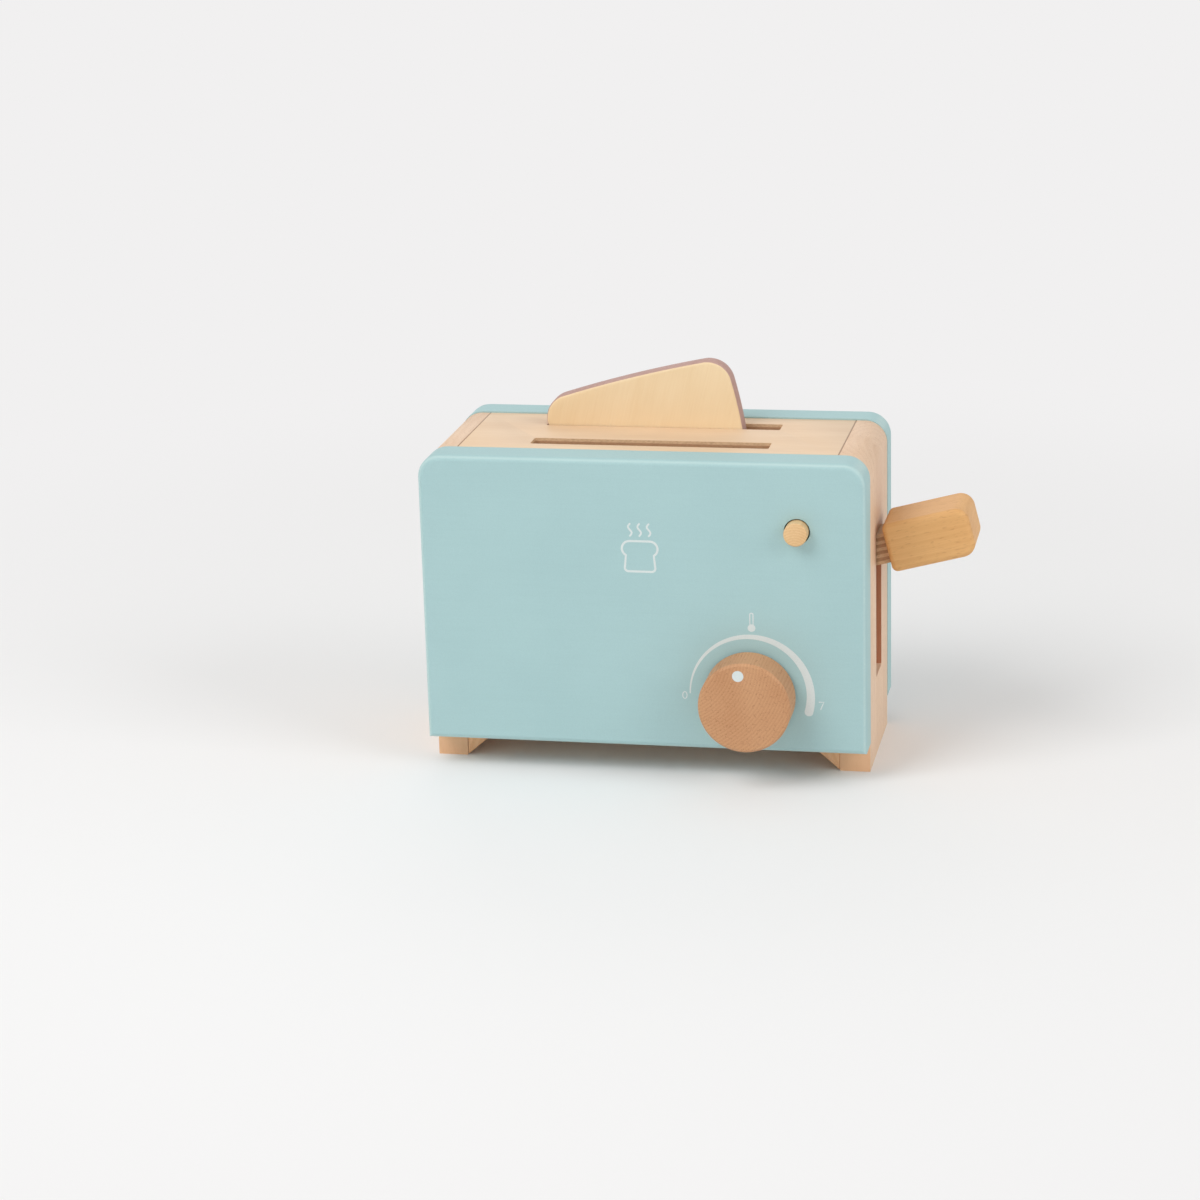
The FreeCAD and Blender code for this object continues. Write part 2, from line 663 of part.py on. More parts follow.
def toast_body():
    """A slice with a waist under two round upper lobes and a slightly crowned top."""
    body = new_body("toast_slice")
    sketch = sketch_on(body, "XZ_Plane", "toast_outline", "-toast_slot_offset")
    half = "slice_width / 2"
    waist = "slice_width / 2 - slice_waist"
    foot_level = "slice_foot"
    waist_level = "slice_foot + slice_waist_height"
    lobe_level = "slice_foot + slice_lobe_height"
    shoulder = "slice_foot + slice_height - slice_crown"
    top = "slice_foot + slice_height"
    corners = [
        (f"slice_place - ({waist})", foot_level),
        (f"slice_place + {waist}", foot_level),
        (f"slice_place + {waist}", waist_level),
        (f"slice_place + {half} - slice_lean", shoulder),
        (f"slice_place - {half} + slice_lean", shoulder),
        (f"slice_place - ({waist})", waist_level),
    ]
    bulges = {
        2: (f"slice_place + {half}", lobe_level),
        3: ("slice_place", top),
        4: (f"slice_place - {half}", lobe_level),
    }
    polygon(sketch, corners, bulges)
    pad(body, sketch, "toast_pad", "slice_thickness", both_sides=True)
    for name, radius, level in (
        ("toast_top_corners", "slice_top_corner", shoulder),
        ("toast_bottom_corners", "slice_foot_corner", foot_level),
    ):
        height = value(level)
        dress(
            body, "Fillet", name, radius,
            lambda edge: runs_along(edge, ALONG_Y) and near(edge.CenterOfMass.z, height),
        )
    return body


# The springs
def return_spring():
    """An extension spring with a hook at each end, between the two screw eyes."""
    radius = value("spring_radius")
    bend = value("spring_bend")
    wire_radius = value("spring_wire_radius")
    turns = int(value("spring_turns"))
    axis_x = value("spring_x")
    low_hook = value("lower_eye_z + hook_hang + spring_radius")
    high_hook = value("upper_eye_z - hook_hang - spring_radius")
    low_turn = low_hook + value("hook_stem")
    high_turn = high_hook - value("hook_stem")

    def point(across, back, up):
        return FreeCAD.Vector(axis_x + across, back, up)

    quarter = bend * (1 - math.sqrt(0.5))
    edges = [
        Part.Arc(
            point(bend, -radius, low_hook),
            point(bend, 0, low_hook - radius),
            point(bend, radius, low_hook),
        ),
        Part.LineSegment(point(bend, radius, low_hook), point(bend, radius, low_turn - bend)),
        Part.Arc(
            point(bend, radius, low_turn - bend),
            point(bend - quarter, radius, low_turn - quarter),
            point(0, radius, low_turn),
        ),
    ]
    coil = helix_edges(radius, turns, high_turn - low_turn, point(0, 0, low_turn))
    ends = [
        Part.Arc(
            point(0, radius, high_turn),
            point(quarter - bend, radius, high_turn + quarter),
            point(-bend, radius, high_turn + bend),
        ),
        Part.LineSegment(point(-bend, radius, high_turn + bend), point(-bend, radius, high_hook)),
        Part.Arc(
            point(-bend, radius, high_hook),
            point(-bend, 0, high_hook + radius),
            point(-bend, -radius, high_hook),
        ),
    ]
    path = [edge.toShape() for edge in edges] + coil + [edge.toShape() for edge in ends]
    spring = doc.addObject("Part::Feature", "return_spring")
    spring.Shape = round_wire_along(path, wire_radius)
    spring.Label = "return_spring"
    gap = least_gap(coil, SPRING_SAMPLES * turns, 2 * math.pi * radius, wire_radius)
    print(f"return spring: least gap between turns {gap:.2f} mm")
    return spring


def button_spring():
    """A compression spring between the button's collar and the back of the guide block."""
    radius = value("collar_radius - button_spring_inset - spring_wire_radius")
    wire_radius = value("spring_wire_radius")
    turns = int(value("button_spring_turns"))
    climb = value("button_spring_length - 4 * spring_wire_radius")
    coil = helix_edges(radius, turns, climb, FreeCAD.Vector(0, 0, 2 * wire_radius))
    spring = doc.addObject("Part::Feature", "button_spring")
    spring.Shape = round_wire_along(coil, wire_radius)
    spring.Label = "button_spring"
    turn = FreeCAD.Rotation(ALONG_Z, -ALONG_Y)
    back = FreeCAD.Vector(value("button_place"), -value("button_spring_back"), value("button_height"))
    spring.Placement = FreeCAD.Placement(back, turn)
    gap = least_gap(coil, SPRING_SAMPLES * turns, 2 * math.pi * radius, wire_radius)
    print(f"button spring: least gap between turns {gap:.2f} mm")
    return spring


SPRING_SAMPLES = 40



def on_lever(name, level_piece):
    """A piece that is drawn level, laid on the lever at rest."""
    piece = group(name, [level_piece])
    tilt_with_lever(piece)
    return piece


# The box: a bar or a magnet is also the tool that makes the hole it sits in
def build_box():
    dowels_in_panels = panel_dowels()
    dowels_in_corners = corner_dowels()
    axle = cylinder(
        "pivot_axle", "axle_radius", "core_depth + 2 * axle_seat", ALONG_Y,
        "pivot_x", "-half_core - axle_seat", "pivot_height",
    )
    spindle_hole = cylinder(
        "spindle_hole", "spindle_radius + running_clearance", "panel_thickness", ALONG_Y,
        "knob_place", "-half_depth", "knob_height",
    )
    button_hole = cylinder(
        "button_hole", "button_radius + button_hole_clearance", "panel_thickness", ALONG_Y,
        "button_place", "-half_depth", "button_height",
    )
    front_holes = [dowels_in_panels, axle, spindle_hole, button_hole]
    front = cut("front_panel", panel("front_panel", True), front_holes)
    back = cut("back_panel", panel("back_panel", False), [dowels_in_panels, axle])

    left = cut("left_side_board", side_board("left_side_board", -1), [dowels_in_panels, dowels_in_corners])
    right_body = side_board("right_side_board", 1)
    lever_slot(right_body)
    right = cut("right_side_board", right_body, [dowels_in_panels, dowels_in_corners])

    upper_eye = screw_eye(
        "upper_screw_eye", "upper_eye_x", "upper_eye_z",
        "upper_eye_z + eye_ring_radius", "eye_neck + eye_shank_depth",
    )
    top_body = core_plate("top_plate", "plate_bottom", "plate_thickness")
    toast_slots(top_body)
    top = cut("top_plate", top_body, [dowels_in_corners, upper_eye])

    magnet = base_magnet()
    screws = stop_block_screws()
    base_body = core_plate("base_plate", "foot_gap", "base_thickness")
    base = cut("base_plate", base_body, [dowels_in_corners, screws])
    block = cut("stop_block", stop_block_body(), [magnet, screws])
    feet = [foot_block("left_foot_block", -1), foot_block("right_foot_block", 1)]
    return [
        front, back, left, right, top, base, dowels_in_panels, dowels_in_corners, axle, axle_spacers(),
        upper_eye, block, magnet, screws, *feet,
    ]


def axle_spacers():
    """Two short tubes that keep the lift board in the middle of its axle."""
    length = "half_core - board_half_width - side_clearance"
    spacers = []
    for name, start in (("front_spacer", "-half_core"), ("back_spacer", f"half_core - ({length})")):
        bore = "axle_radius + spacer_bore_clearance"
        spot = ("pivot_x", start, "pivot_height")
        spacers.append(tube(name, "spacer_radius", bore, length, ALONG_Y, *spot))
    return group("axle_spacers", spacers)


def stop_block_body():
    """A block on the base whose sloping top meets the underside of the pressed lever."""
    body = new_body("stop_block_body")
    sketch = sketch_on(body, "XZ_Plane", "stop_block_outline")
    polygon(sketch, [
        ("block_left", "base_top"), ("block_right", "base_top"),
        ("block_right", "block_right_top"), ("block_left", "block_left_top"),
    ])
    pad(body, sketch, "stop_block_pad", "stop_block_depth", both_sides=True)
    return body


def base_magnet():
    """A disc let in flush with the sloping top of the stop block."""
    magnet = cylinder(
        "base_magnet", "magnet_radius", "magnet_height", ALONG_Z,
        "block_middle + magnet_height * sin(pressed_tilt)", "0",
        "(block_left_top + block_right_top) / 2 - magnet_height * cos(pressed_tilt)",
    )
    magnet.Placement.Rotation = FreeCAD.Rotation(-ALONG_Y, value("pressed_tilt"))
    magnet.setExpression("Placement.Rotation.Angle", spell("pressed_tilt") + " * 1 deg")
    return magnet


def stop_block_screws():
    """Two countersunk screws that hold the stop block from under the base plate."""
    screws = []
    for side in ("-", ""):
        name = f"stop_block_screw_{len(screws) + 1}"
        back = side + "block_screw_spread"
        spot = ("block_middle", back, "foot_gap")
        shank = cylinder(name + "_shank", "block_screw_radius", "block_screw_length", ALONG_Z, *spot)
        head = doc.addObject("Part::Cone", name + "_head")
        bind(head, Radius1="block_screw_head", Radius2="block_screw_radius", Height="block_screw_sink")
        place(head, *spot)
        screw = doc.addObject("Part::Fuse", name)
        screw.Base = shank
        screw.Tool = head
        screws.append(screw)
    return group("stop_block_screws", screws)


def build_lever():
    """The lift board, its handle and what they carry."""
    bore = cylinder(
        "board_bore", "axle_radius + running_clearance", "board_width", ALONG_Y,
        "0", "-board_half_width", "0",
    )
    magnet = cylinder(
        "level_board_magnet", "magnet_radius", "magnet_height", ALONG_Z,
        "stop_block_place", "0", "-half_board",
    )
    eye = screw_eye(
        "level_screw_eye", "eye_place", "eye_lift",
        "half_board - eye_shank_depth", "eye_shank_depth + eye_neck",
    )
    dowel = cylinder(
        "level_handle_dowel", "handle_dowel_radius", "handle_dowel_length", ALONG_Z,
        "handle_start + handle_dowel_place", "0", "handle_offset - handle_height / 2",
    )
    board = cut("lift_board", lift_board_body(), [bore, magnet, eye, dowel])
    handle = cut("lever_handle", handle_body(), [dowel])
    for piece in (board, handle):
        tilt_with_lever(piece)
    toast = toast_body()
    tilt_with_lever(toast)
    return [
        board, handle, toast,
        on_lever("board_magnet", magnet), on_lever("lower_screw_eye", eye), on_lever("handle_dowel", dowel),
    ]


def build_knob():
    """The knob turns on a spindle that a pinned collar holds behind the panel."""
    body = new_body("knob_body")
    sketch = sketch_on(body, "XZ_Plane", "knob_outline", "knob_back")
    circle(sketch, "knob_place", "knob_height", "knob_radius")
    pad(body, sketch, "knob_pad", "knob_thickness")
    front, back = -value("knob_front"), -value("knob_back")
    dress(
        body, "Chamfer", "knob_front_edge", "knob_chamfer",
        lambda edge: near(edge.BoundBox.YMax, front),
    )
    dress(
        body, "Fillet", "knob_rear_edge", "knob_back_edge",
        lambda edge: near(edge.BoundBox.YMin, back),
    )
    bar = cylinder(
        "spindle_bar", "spindle_radius", "spindle_front - spindle_back", ALONG_Y,
        "knob_place", "-spindle_front", "knob_height",
    )
    pin = cylinder(
        "collar_pin", "collar_pin_radius", "2 * collar_radius", ALONG_Z,
        "knob_place", "-(spindle_collar_front + spindle_collar_back) / 2", "knob_height - collar_radius",
    )
    collar = tube(
        "spindle_collar_ring", "collar_radius", "spindle_radius", "spindle_collar_length", ALONG_Y,
        "knob_place", "-spindle_collar_front", "knob_height",
    )
    washer = tube(
        "knob_washer", "washer_radius", "spindle_radius + washer_clearance", "washer_thickness", ALONG_Y,
        "knob_place", "-half_depth - washer_thickness", "knob_height",
    )
    return [
        cut("knob", body, [bar]), cut("knob_spindle", bar, [pin]), cut("spindle_collar", collar, [pin]),
        pin, washer,
    ]


def build_button():
    """The button is a dowel; a collar keeps it in, and a spring in the guide block pushes it out."""
    body = new_body("button_peg")
    sketch = sketch_on(body, "XZ_Plane", "button_outline", "button_back")
    circle(sketch, "button_place", "button_height", "button_radius")
    pad(body, sketch, "button_pad", "button_front - button_back")
    front = -value("button_front")
    dress(
        body, "Fillet", "button_front_edge", "button_edge",
        lambda edge: near(edge.BoundBox.YMax, front),
    )
    collar = tube(
        "button_collar", "collar_radius", "button_radius", "button_collar_length", ALONG_Y,
        "button_place", "-button_collar_front", "button_height",
    )
    block = box(
        "guide_block_blank", "guide_width", "half_core - guide_back", "guide_height",
        "button_place - guide_width / 2", "-half_core", "button_height - guide_height / 2",
    )
    bore = cylinder(
        "guide_block_bore", "guide_bore", "half_core - button_spring_back", ALONG_Y,
        "button_place", "-half_core", "button_height",
    )
    return [body, collar, button_spring(), cut("button_guide_block", block, [bore])]


nodes = build_box() + build_lever() + build_knob() + build_button() + [return_spring()]
doc.recompute()

for thing in doc.Objects:
    if "Invalid" in thing.State or "Error" in thing.State:
        raise RuntimeError(f"{thing.Name} could not be built: {thing.State}")
for node in nodes:
    if node.Shape.isNull() or not node.Shape.isValid() or not node.Shape.Solids:
        raise RuntimeError(f"{node.Label} has no sound solid")

os.makedirs("parts", exist_ok=True)
whole = FreeCAD.BoundBox()
for node in nodes:
    node.Shape.exportStep(f"parts/{node.Label}.step")
    whole.add(node.Shape.BoundBox)
print(f"{len(nodes)} nodes, {sum(len(node.Shape.Solids) for node in nodes)} solids")
print(f"box {whole.XLength:.1f} x {whole.YLength:.1f} x {whole.ZLength:.1f} mm")
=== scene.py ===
# %% [markdown]
# # A wooden toy toaster
#
# The real toy is a small box: two painted panels with a core of natural wood between them. A lever
# lifts one slice of toast, a knob turns on a printed dial, and a dowel is the button.
#
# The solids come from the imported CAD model, so their sizes are already right. What is left for
# Blender is how they look: grain, paint, print, softened edges and light.
#
# It keeps which body each piece rides on.

# %% The frame
import json
import math

import bmesh
import bpy
from mathutils import Matrix, Vector

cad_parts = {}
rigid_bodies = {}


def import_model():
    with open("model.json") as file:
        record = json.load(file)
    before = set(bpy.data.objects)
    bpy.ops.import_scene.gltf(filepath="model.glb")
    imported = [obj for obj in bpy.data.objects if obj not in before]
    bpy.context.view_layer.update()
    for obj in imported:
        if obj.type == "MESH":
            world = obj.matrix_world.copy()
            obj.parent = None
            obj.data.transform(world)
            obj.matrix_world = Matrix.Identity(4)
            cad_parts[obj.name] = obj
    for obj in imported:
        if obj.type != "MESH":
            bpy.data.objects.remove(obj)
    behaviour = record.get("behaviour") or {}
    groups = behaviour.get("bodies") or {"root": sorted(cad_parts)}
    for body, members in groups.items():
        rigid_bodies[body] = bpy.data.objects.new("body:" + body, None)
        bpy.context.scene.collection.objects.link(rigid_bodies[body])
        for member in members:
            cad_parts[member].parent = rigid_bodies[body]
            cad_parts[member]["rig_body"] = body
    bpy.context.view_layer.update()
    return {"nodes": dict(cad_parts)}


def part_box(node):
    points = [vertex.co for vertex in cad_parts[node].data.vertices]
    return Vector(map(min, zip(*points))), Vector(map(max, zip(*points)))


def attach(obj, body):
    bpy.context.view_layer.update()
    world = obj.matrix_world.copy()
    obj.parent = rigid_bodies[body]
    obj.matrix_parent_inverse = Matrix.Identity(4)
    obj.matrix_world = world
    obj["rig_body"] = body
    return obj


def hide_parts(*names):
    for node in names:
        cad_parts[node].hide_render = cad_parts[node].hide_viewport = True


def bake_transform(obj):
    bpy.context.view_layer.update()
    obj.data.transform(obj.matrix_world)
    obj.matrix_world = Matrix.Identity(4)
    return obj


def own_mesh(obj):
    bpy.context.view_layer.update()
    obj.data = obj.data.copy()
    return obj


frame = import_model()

MM = 0.001
nodes = frame["nodes"]
print("solids in the frame:", len(nodes))

# %% [markdown]
# ## The camera
#
# A product shot is taken with a long lens from a little above. The numbers here were fitted to the
# straight edges of the box, so the picture lines up with the photo's view.
#
# A camera could be aimed with a Track To constraint, but that can't hold the slight roll. A matrix
# of three directions and a place says everything at once.

# %% The camera
def camera_matrix(target, distance, azimuth, elevation, roll):
    """Look at a target from a distance. Azimuth 0 looks along +Y, and the angles are in degrees."""
    a, e, r = (math.radians(angle) for angle in (azimuth, elevation, roll))
    back = Vector((math.sin(a) * math.cos(e), -math.cos(a) * math.cos(e), math.sin(e)))
    side = (-back).cross(Vector((0, 0, 1))).normalized()
    up = side.cross(-back)
    right = math.cos(r) * side + math.sin(r) * up
    above = math.cos(r) * up - math.sin(r) * side
    turn = Matrix((right, above, back)).transposed().to_4x4()
    return Matrix.Translation(Vector(target) + back * distance) @ turn


FOCAL_LENGTH, SENSOR = 94.43, 36
LOOKED_AT, DISTANCE = (-0.027694, 0, 0.062909), 1.37916
AZIMUTH, ELEVATION, ROLL = 11.9038, 16.8185, -1.6217

lens = bpy.data.cameras.new("photo_camera")
lens.lens, lens.sensor_width = FOCAL_LENGTH, SENSOR
camera = bpy.data.objects.new("photo_camera", lens)
bpy.context.scene.collection.objects.link(camera)
camera.matrix_world = camera_matrix(LOOKED_AT, DISTANCE, AZIMUTH, ELEVATION, ROLL)
bpy.context.scene.camera = camera
bpy.context.scene.view_settings.view_transform = "Standard"
print("camera at", [round(v, 4) for v in camera.matrix_world.translation])

# %% [markdown]
# ## Writing node trees in Python
#
# A finish is a tree of nodes. Adding each node by hand makes long code that hides the idea, so a
# small class wraps a socket and lets Python's own signs add Math nodes: `1 - mask * 0.5` is then
# two nodes and their links. Every other node comes from one method, `add`.
#
# The same class serves shader trees and Geometry Nodes trees.

# %% Colours as they are read off a picture
def srgb(red, green, blue):
    """A colour read off a picture, 0 to 255, as the linear colour that a shader works in."""
    def linear(level):
        share = level / 255
        return share / 12.92 if share <= 0.04045 else ((share + 0.055) / 1.055) ** 2.4
    return (linear(red), linear(green), linear(blue), 1.0)


print("level 128 of 255 is", round(srgb(128, 128, 128)[0], 3), "of the light")

# %% A socket that understands arithmetic
class Value:
    """One output socket of a tree. The signs + - * / ** on it add Math nodes."""

    def __init__(self, graph, socket):
        self.graph, self.socket = graph, socket

    def other(self, name):
        """Another output of the same node."""
        return Value(self.graph, self.socket.node.outputs[name])

    def maths(self, operation, first, second=0.0, **settings):
        return self.graph.add(
            "ShaderNodeMath", {0: first, 1: second}, operation=operation, **settings)

    def __add__(self, right):
        return self.maths("ADD", self, right)

    def __radd__(self, left):
        return self.maths("ADD", left, self)

    def __sub__(self, right):
        return self.maths("SUBTRACT", self, right)

    def __rsub__(self, left):
        return self.maths("SUBTRACT", left, self)

    def __mul__(self, right):
        return self.maths("MULTIPLY", self, right)

    def __rmul__(self, left):
        return self.maths("MULTIPLY", left, self)

    def __truediv__(self, right):
        return self.maths("DIVIDE", self, right)

    def __rtruediv__(self, left):
        return self.maths("DIVIDE", left, self)

    def __pow__(self, right):
        return self.maths("POWER", self, right)

    def __abs__(self):
        return self.maths("ABSOLUTE", self)

    def at_least(self, right):
        return self.maths("MAXIMUM", self, right)

    def above(self, right):
        return self.maths("GREATER_THAN", self, right)

    def fraction(self):
        return self.maths("FRACT", self)

    def clamped(self):
        """The same value, held between 0 and 1."""
        return self.maths("ADD", self, 0.0, use_clamp=True)

    def ramp(self, low, high):
        """0 below low, 1 above high and smooth between them."""
        return self.graph.add(
            "ShaderNodeMapRange", {"Value": self, "From Min": low, "From Max": high},
            interpolation_type="SMOOTHSTEP")


print("a value understands + - * / ** and abs")

# %% A tree that nodes are added to
class Graph:
    """A node tree that nodes are added to."""

    def __init__(self, tree):
        self.tree = tree

    def add(self, kind, values=(), out=0, **settings):
        """A node of that kind: its settings first, then the numbers or links of its sockets."""
        node = self.tree.nodes.new(kind)
        for name, setting in settings.items():
            setattr(node, name, setting)
        for socket, value in dict(values).items():
            if isinstance(value, Value):
                self.tree.links.new(value.socket, node.inputs[socket])
            else:
                node.inputs[socket].default_value = value
        return Value(self, node.outputs[out]) if node.outputs else node


print("every other node comes from Graph.add")

# %% [markdown]
# ## A finish
#
# Every finish here starts from the Principled shader. What is the same all over the piece is set on
# its sockets once. What changes over the surface is linked, and only to colour, roughness, metallic
# and the bump that tilts the normal, because these can be baked when the model leaves Blender.

# %% Finish
class Finish(Graph):
    """A material: its shader, its coordinates and the few patterns that all finishes share."""

    def __init__(self, name, **constants):
        self.material = bpy.data.materials.new(name)
        self.material.use_nodes = True
        super().__init__(self.material.node_tree)
        self.shader = self.tree.nodes["Principled BSDF"]
        for socket, value in constants.items():
            self.shader.inputs[socket.replace("_", " ")].default_value = value

    def space(self, centre=(0, 0, 0), turn=(0, 0, 0)):
        """Object coordinates in millimetres about a centre, turned by angles in degrees."""
        place = self.add("ShaderNodeTexCoord", out="Object")
        return self.add(
            "ShaderNodeMapping",
            {"Vector": place, "Location": [c * MM for c in centre],
             "Rotation": [math.radians(angle) for angle in turn], "Scale": (MM, MM, MM)},
            vector_type="TEXTURE")

    def scaled(self, vector, factors):
        """A vector with each of its parts multiplied by its own factor."""
        return self.add("ShaderNodeVectorMath", {0: vector, 1: factors}, operation="MULTIPLY")

    def noise(self, space, per_mm, detail=2.0, roughness=0.5):
        """Cloudy noise from 0 to 1, with so many lumps to the millimetre along each axis."""
        return self.add("ShaderNodeTexNoise", {
            "Vector": self.scaled(space, per_mm), "Scale": 1.0, "Detail": detail,
            "Roughness": roughness})

    def mix(self, factor, first, second):
        """From the first colour to the second; 6, 7 and out 2 are the Mix node's colour sockets."""
        return self.add("ShaderNodeMix", {0: factor, 6: first, 7: second}, out=2,
                        data_type="RGBA", blend_type="MIX")

    def facing(self, direction):
        """How squarely a surface faces along a direction, or against it: 0 to 1."""
        normal = self.add("ShaderNodeTexCoord", out="Normal")
        dot = self.add("ShaderNodeVectorMath", {0: normal, 1: direction}, out="Value",
                       operation="DOT_PRODUCT")
        return abs(dot)

    def feed(self, colour, roughness, height, depth):
        """Link the surface: colour, roughness and a bump that is so many millimetres deep."""
        bump = self.add("ShaderNodeBump", {
            "Strength": 1.0, "Distance": depth * MM, "Height": height})
        for name, value in (("Base Color", colour), ("Roughness", roughness), ("Normal", bump)):
            self.tree.links.new(value.socket, self.shader.inputs[name])
        return self.material


print("a finish links its colour, its roughness and its bump")

# %% [markdown]
# ## The studio
#
# The toy stands on pale card under soft light. The sky gives an even light from all round, a large
# lamp at the upper left draws the shadows, a softer one on the right fills them, and a faint one
# behind keeps the back alive.
#
# A white background could come from more light, but then pale wood would bleach. So the light stays
# at a plain level, and only what the camera sees of the far floor and the sky is made paler.

# %% Studio
BACKDROP = srgb(241, 240, 240)
SKY_LEVEL = 0.56
LAMPS = (
    ("key_lamp", (-1.1, -1.3, 1.8), 1.4, 27),
    ("side_lamp", (2.4, -1.0, 1.5), 1.6, 23),
    ("rear_lamp", (-0.6, 2.6, 1.6), 1.6, 6),
)
TOY_MIDDLE = (0, 0, 0.07)


def seen_directly(graph):
    """1 for rays that show the background itself: to the camera, in a mirror or through glass."""
    path = graph.add("ShaderNodeLightPath", out="Is Camera Ray")
    return (path + path.other("Is Glossy Ray") + path.other("Is Transmission Ray")).clamped()


def lamp(name, place, size, watts):
    """A square soft box that faces the toy."""
    light = bpy.data.lights.new(name, "AREA")
    light.shape, light.size, light.energy = "SQUARE", size, watts
    soft_box = bpy.data.objects.new(name, light)
    bpy.context.scene.collection.objects.link(soft_box)
    aim = Vector(TOY_MIDDLE) - Vector(place)
    turn = aim.to_track_quat("-Z", "Y").to_matrix().to_4x4()
    soft_box.matrix_world = Matrix.Translation(place) @ turn


print("one sky and", len(LAMPS), "soft boxes to come")

# %% Sky and lamps
world = bpy.data.worlds.new("studio")
world.use_nodes = True
bpy.context.scene.world = world
sky = Graph(world.node_tree)
world.node_tree.nodes.clear()
even = sky.add("ShaderNodeBackground", {"Color": (1.0, 0.99, 0.98, 1), "Strength": SKY_LEVEL})
shown = sky.add("ShaderNodeBackground", {"Color": BACKDROP, "Strength": 1.0})
chosen = sky.add("ShaderNodeMixShader", {0: seen_directly(sky), 1: even, 2: shown})
sky.add("ShaderNodeOutputWorld", {"Surface": chosen})
for name, place, size, watts in LAMPS:
    lamp(name, place, size, watts)
print("lamps:", ", ".join(name for name, *rest in LAMPS))

# %% [markdown]
# The floor is a wide disc of matt card, for the toy to stand on and to shade. How far a point is
# from the middle says how much it fades to the paler background, and only the camera, a mirror or
# glass sees that fade.

# %% The card on the floor
CARD_RADIUS, FADE_START, FADE_END = 9.0, 0.22, 0.7
CARD_CORNERS = 96

card_finish = Finish("studio_card", Base_Color=srgb(241, 241, 241), Roughness=0.9)
distance = card_finish.add(
    "ShaderNodeVectorMath", {0: card_finish.add("ShaderNodeTexCoord", out="Object")}, out="Value",
    operation="LENGTH")
far = distance.ramp(FADE_START, FADE_END) * seen_directly(card_finish)
glow = card_finish.add("ShaderNodeEmission", {"Color": BACKDROP, "Strength": 1.0})
surface = card_finish.add("ShaderNodeMixShader", {
    0: far, 1: Value(card_finish, card_finish.shader.outputs[0]), 2: glow})
card_finish.tree.links.new(
    surface.socket, card_finish.tree.nodes["Material Output"].inputs["Surface"])

card_mesh = bpy.data.meshes.new("studio_card")
disc = bmesh.new()
bmesh.ops.create_circle(disc, cap_ends=True, segments=CARD_CORNERS, radius=CARD_RADIUS)
disc.to_mesh(card_mesh)
disc.free()
card_mesh.materials.append(card_finish.material)
card = bpy.data.objects.new("studio_card", card_mesh)
bpy.context.scene.collection.objects.link(card)
print("card:", 2 * CARD_RADIUS, "m across, paler from", FADE_START, "m")

# %% [markdown]
# ## Solid wood
#
# Wood is drawn as it grows. Rings lie about the heart of the tree, which is some way outside the
# piece, and the saw cuts them into stripes or arcs. Fibres are very long along the grain and fine
# across it. Beech also has short dark dashes, its rays.
#
# A wood picture would repeat and has one direction. Here each piece gets its own grain frame, with
# X along the grain and Z away from the heart, so that end grain and long grain agree at each edge.

# %% Wood
PEAK = 9.5  # brings the highest value of share ** 3 * (1 - share) to 1
WOOD_ROUGHNESS = 0.52
RAY_SHADE = (0.62, 0.50, 0.42)


def ring_tone(finish, space, heart, spacing, drift):
    """0 in the pale early wood, up to 1 in the dark end of each year's ring."""
    wander = finish.noise(space, (0.006, 0.03, 0.03), detail=1.0) * drift
    parts = finish.add("ShaderNodeSeparateXYZ", {0: space}, out="Y")
    depth = parts.other("Z") + heart
    radius = (parts * parts + depth * depth) ** 0.5
    share = ((radius + wander) / spacing).fraction()
    return share * share * share * (1 - share) * PEAK


def wood(name, light, dark, centre, turn, heart=60, spacing=3.0, drift=3.0, ring_share=0.3,
         rays=0.35, rim=None, slot_shade=None):
    """Oiled wood of two tones, with its grain turned to suit the piece.

    The rim is a colour for faces that look to the front or back, such as a board's narrow edges.
    The slot shade is a function that says where painted shade darkens the wood to brown.
    """
    finish = Finish(name, Specular_IOR_Level=0.35)
    space = finish.space(centre, turn)
    rings = ring_tone(finish, space, heart, spacing, drift)
    fibre = finish.noise(space, (0.05, 2.2, 2.2), detail=3.0, roughness=0.6)
    cloud = finish.noise(space, (0.01, 0.05, 0.05), detail=1.0)
    tone = rings * ring_share + (fibre - 0.5) * 0.55 + (cloud - 0.5) * 0.7 + 0.3
    ray = finish.noise(space, (0.30, 1.7, 1.7), detail=1.0).ramp(0.60, 0.70) * rays
    colour = finish.mix(tone.clamped(), light, dark)
    ray_colour = tuple(level * share for level, share in zip(dark, RAY_SHADE)) + (1.0,)
    colour = finish.mix(ray, colour, ray_colour)
    roughness = WOOD_ROUGHNESS + (fibre - 0.5) * 0.16 + ray * 0.1
    height = (1 - rings * 0.4) + fibre * 0.8 - ray
    if rim:
        colour = finish.mix(finish.facing((0, 1, 0)).above(0.7) * 0.85, colour, rim)
    # Painted shade: a brown laid on the walls of the lever slot.
    if slot_shade:
        colour = finish.mix(slot_shade(finish) * (0.6 + fibre * 0.5), colour, srgb(176, 104, 70))
    return finish.feed(colour, roughness, height, depth=0.05)


print("wood is ready to be turned to each piece")

# %% [markdown]
# Beech boards, blocks, handle and knob each get their own two tones. The handle leans with the
# lever, so its grain leans too, and the knob is cut across the grain, so its face shows the rings.
# The walls of the lever slot get painted shade, a brown stripe. The narrow
# edges of the side boards show below the panels as feet, and they are more golden.

# %% Woods of this toy
SLOT_HALF = 9.5
LEVER_TILT = 14.5


def routed_slot(finish):
    """1 on the walls of the lever slot, which face front or back near Y 0."""
    across = finish.add("ShaderNodeSeparateXYZ", {0: finish.space()}, out="Y")
    return finish.facing((0, 1, 0)).above(0.7) * (1 - abs(across).above(SLOT_HALF + 0.3))


def middle_of(node):
    """The middle of a solid's box, in millimetres."""
    low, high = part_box(node)
    return [(a + b) / 2 / MM for a, b in zip(low, high)]


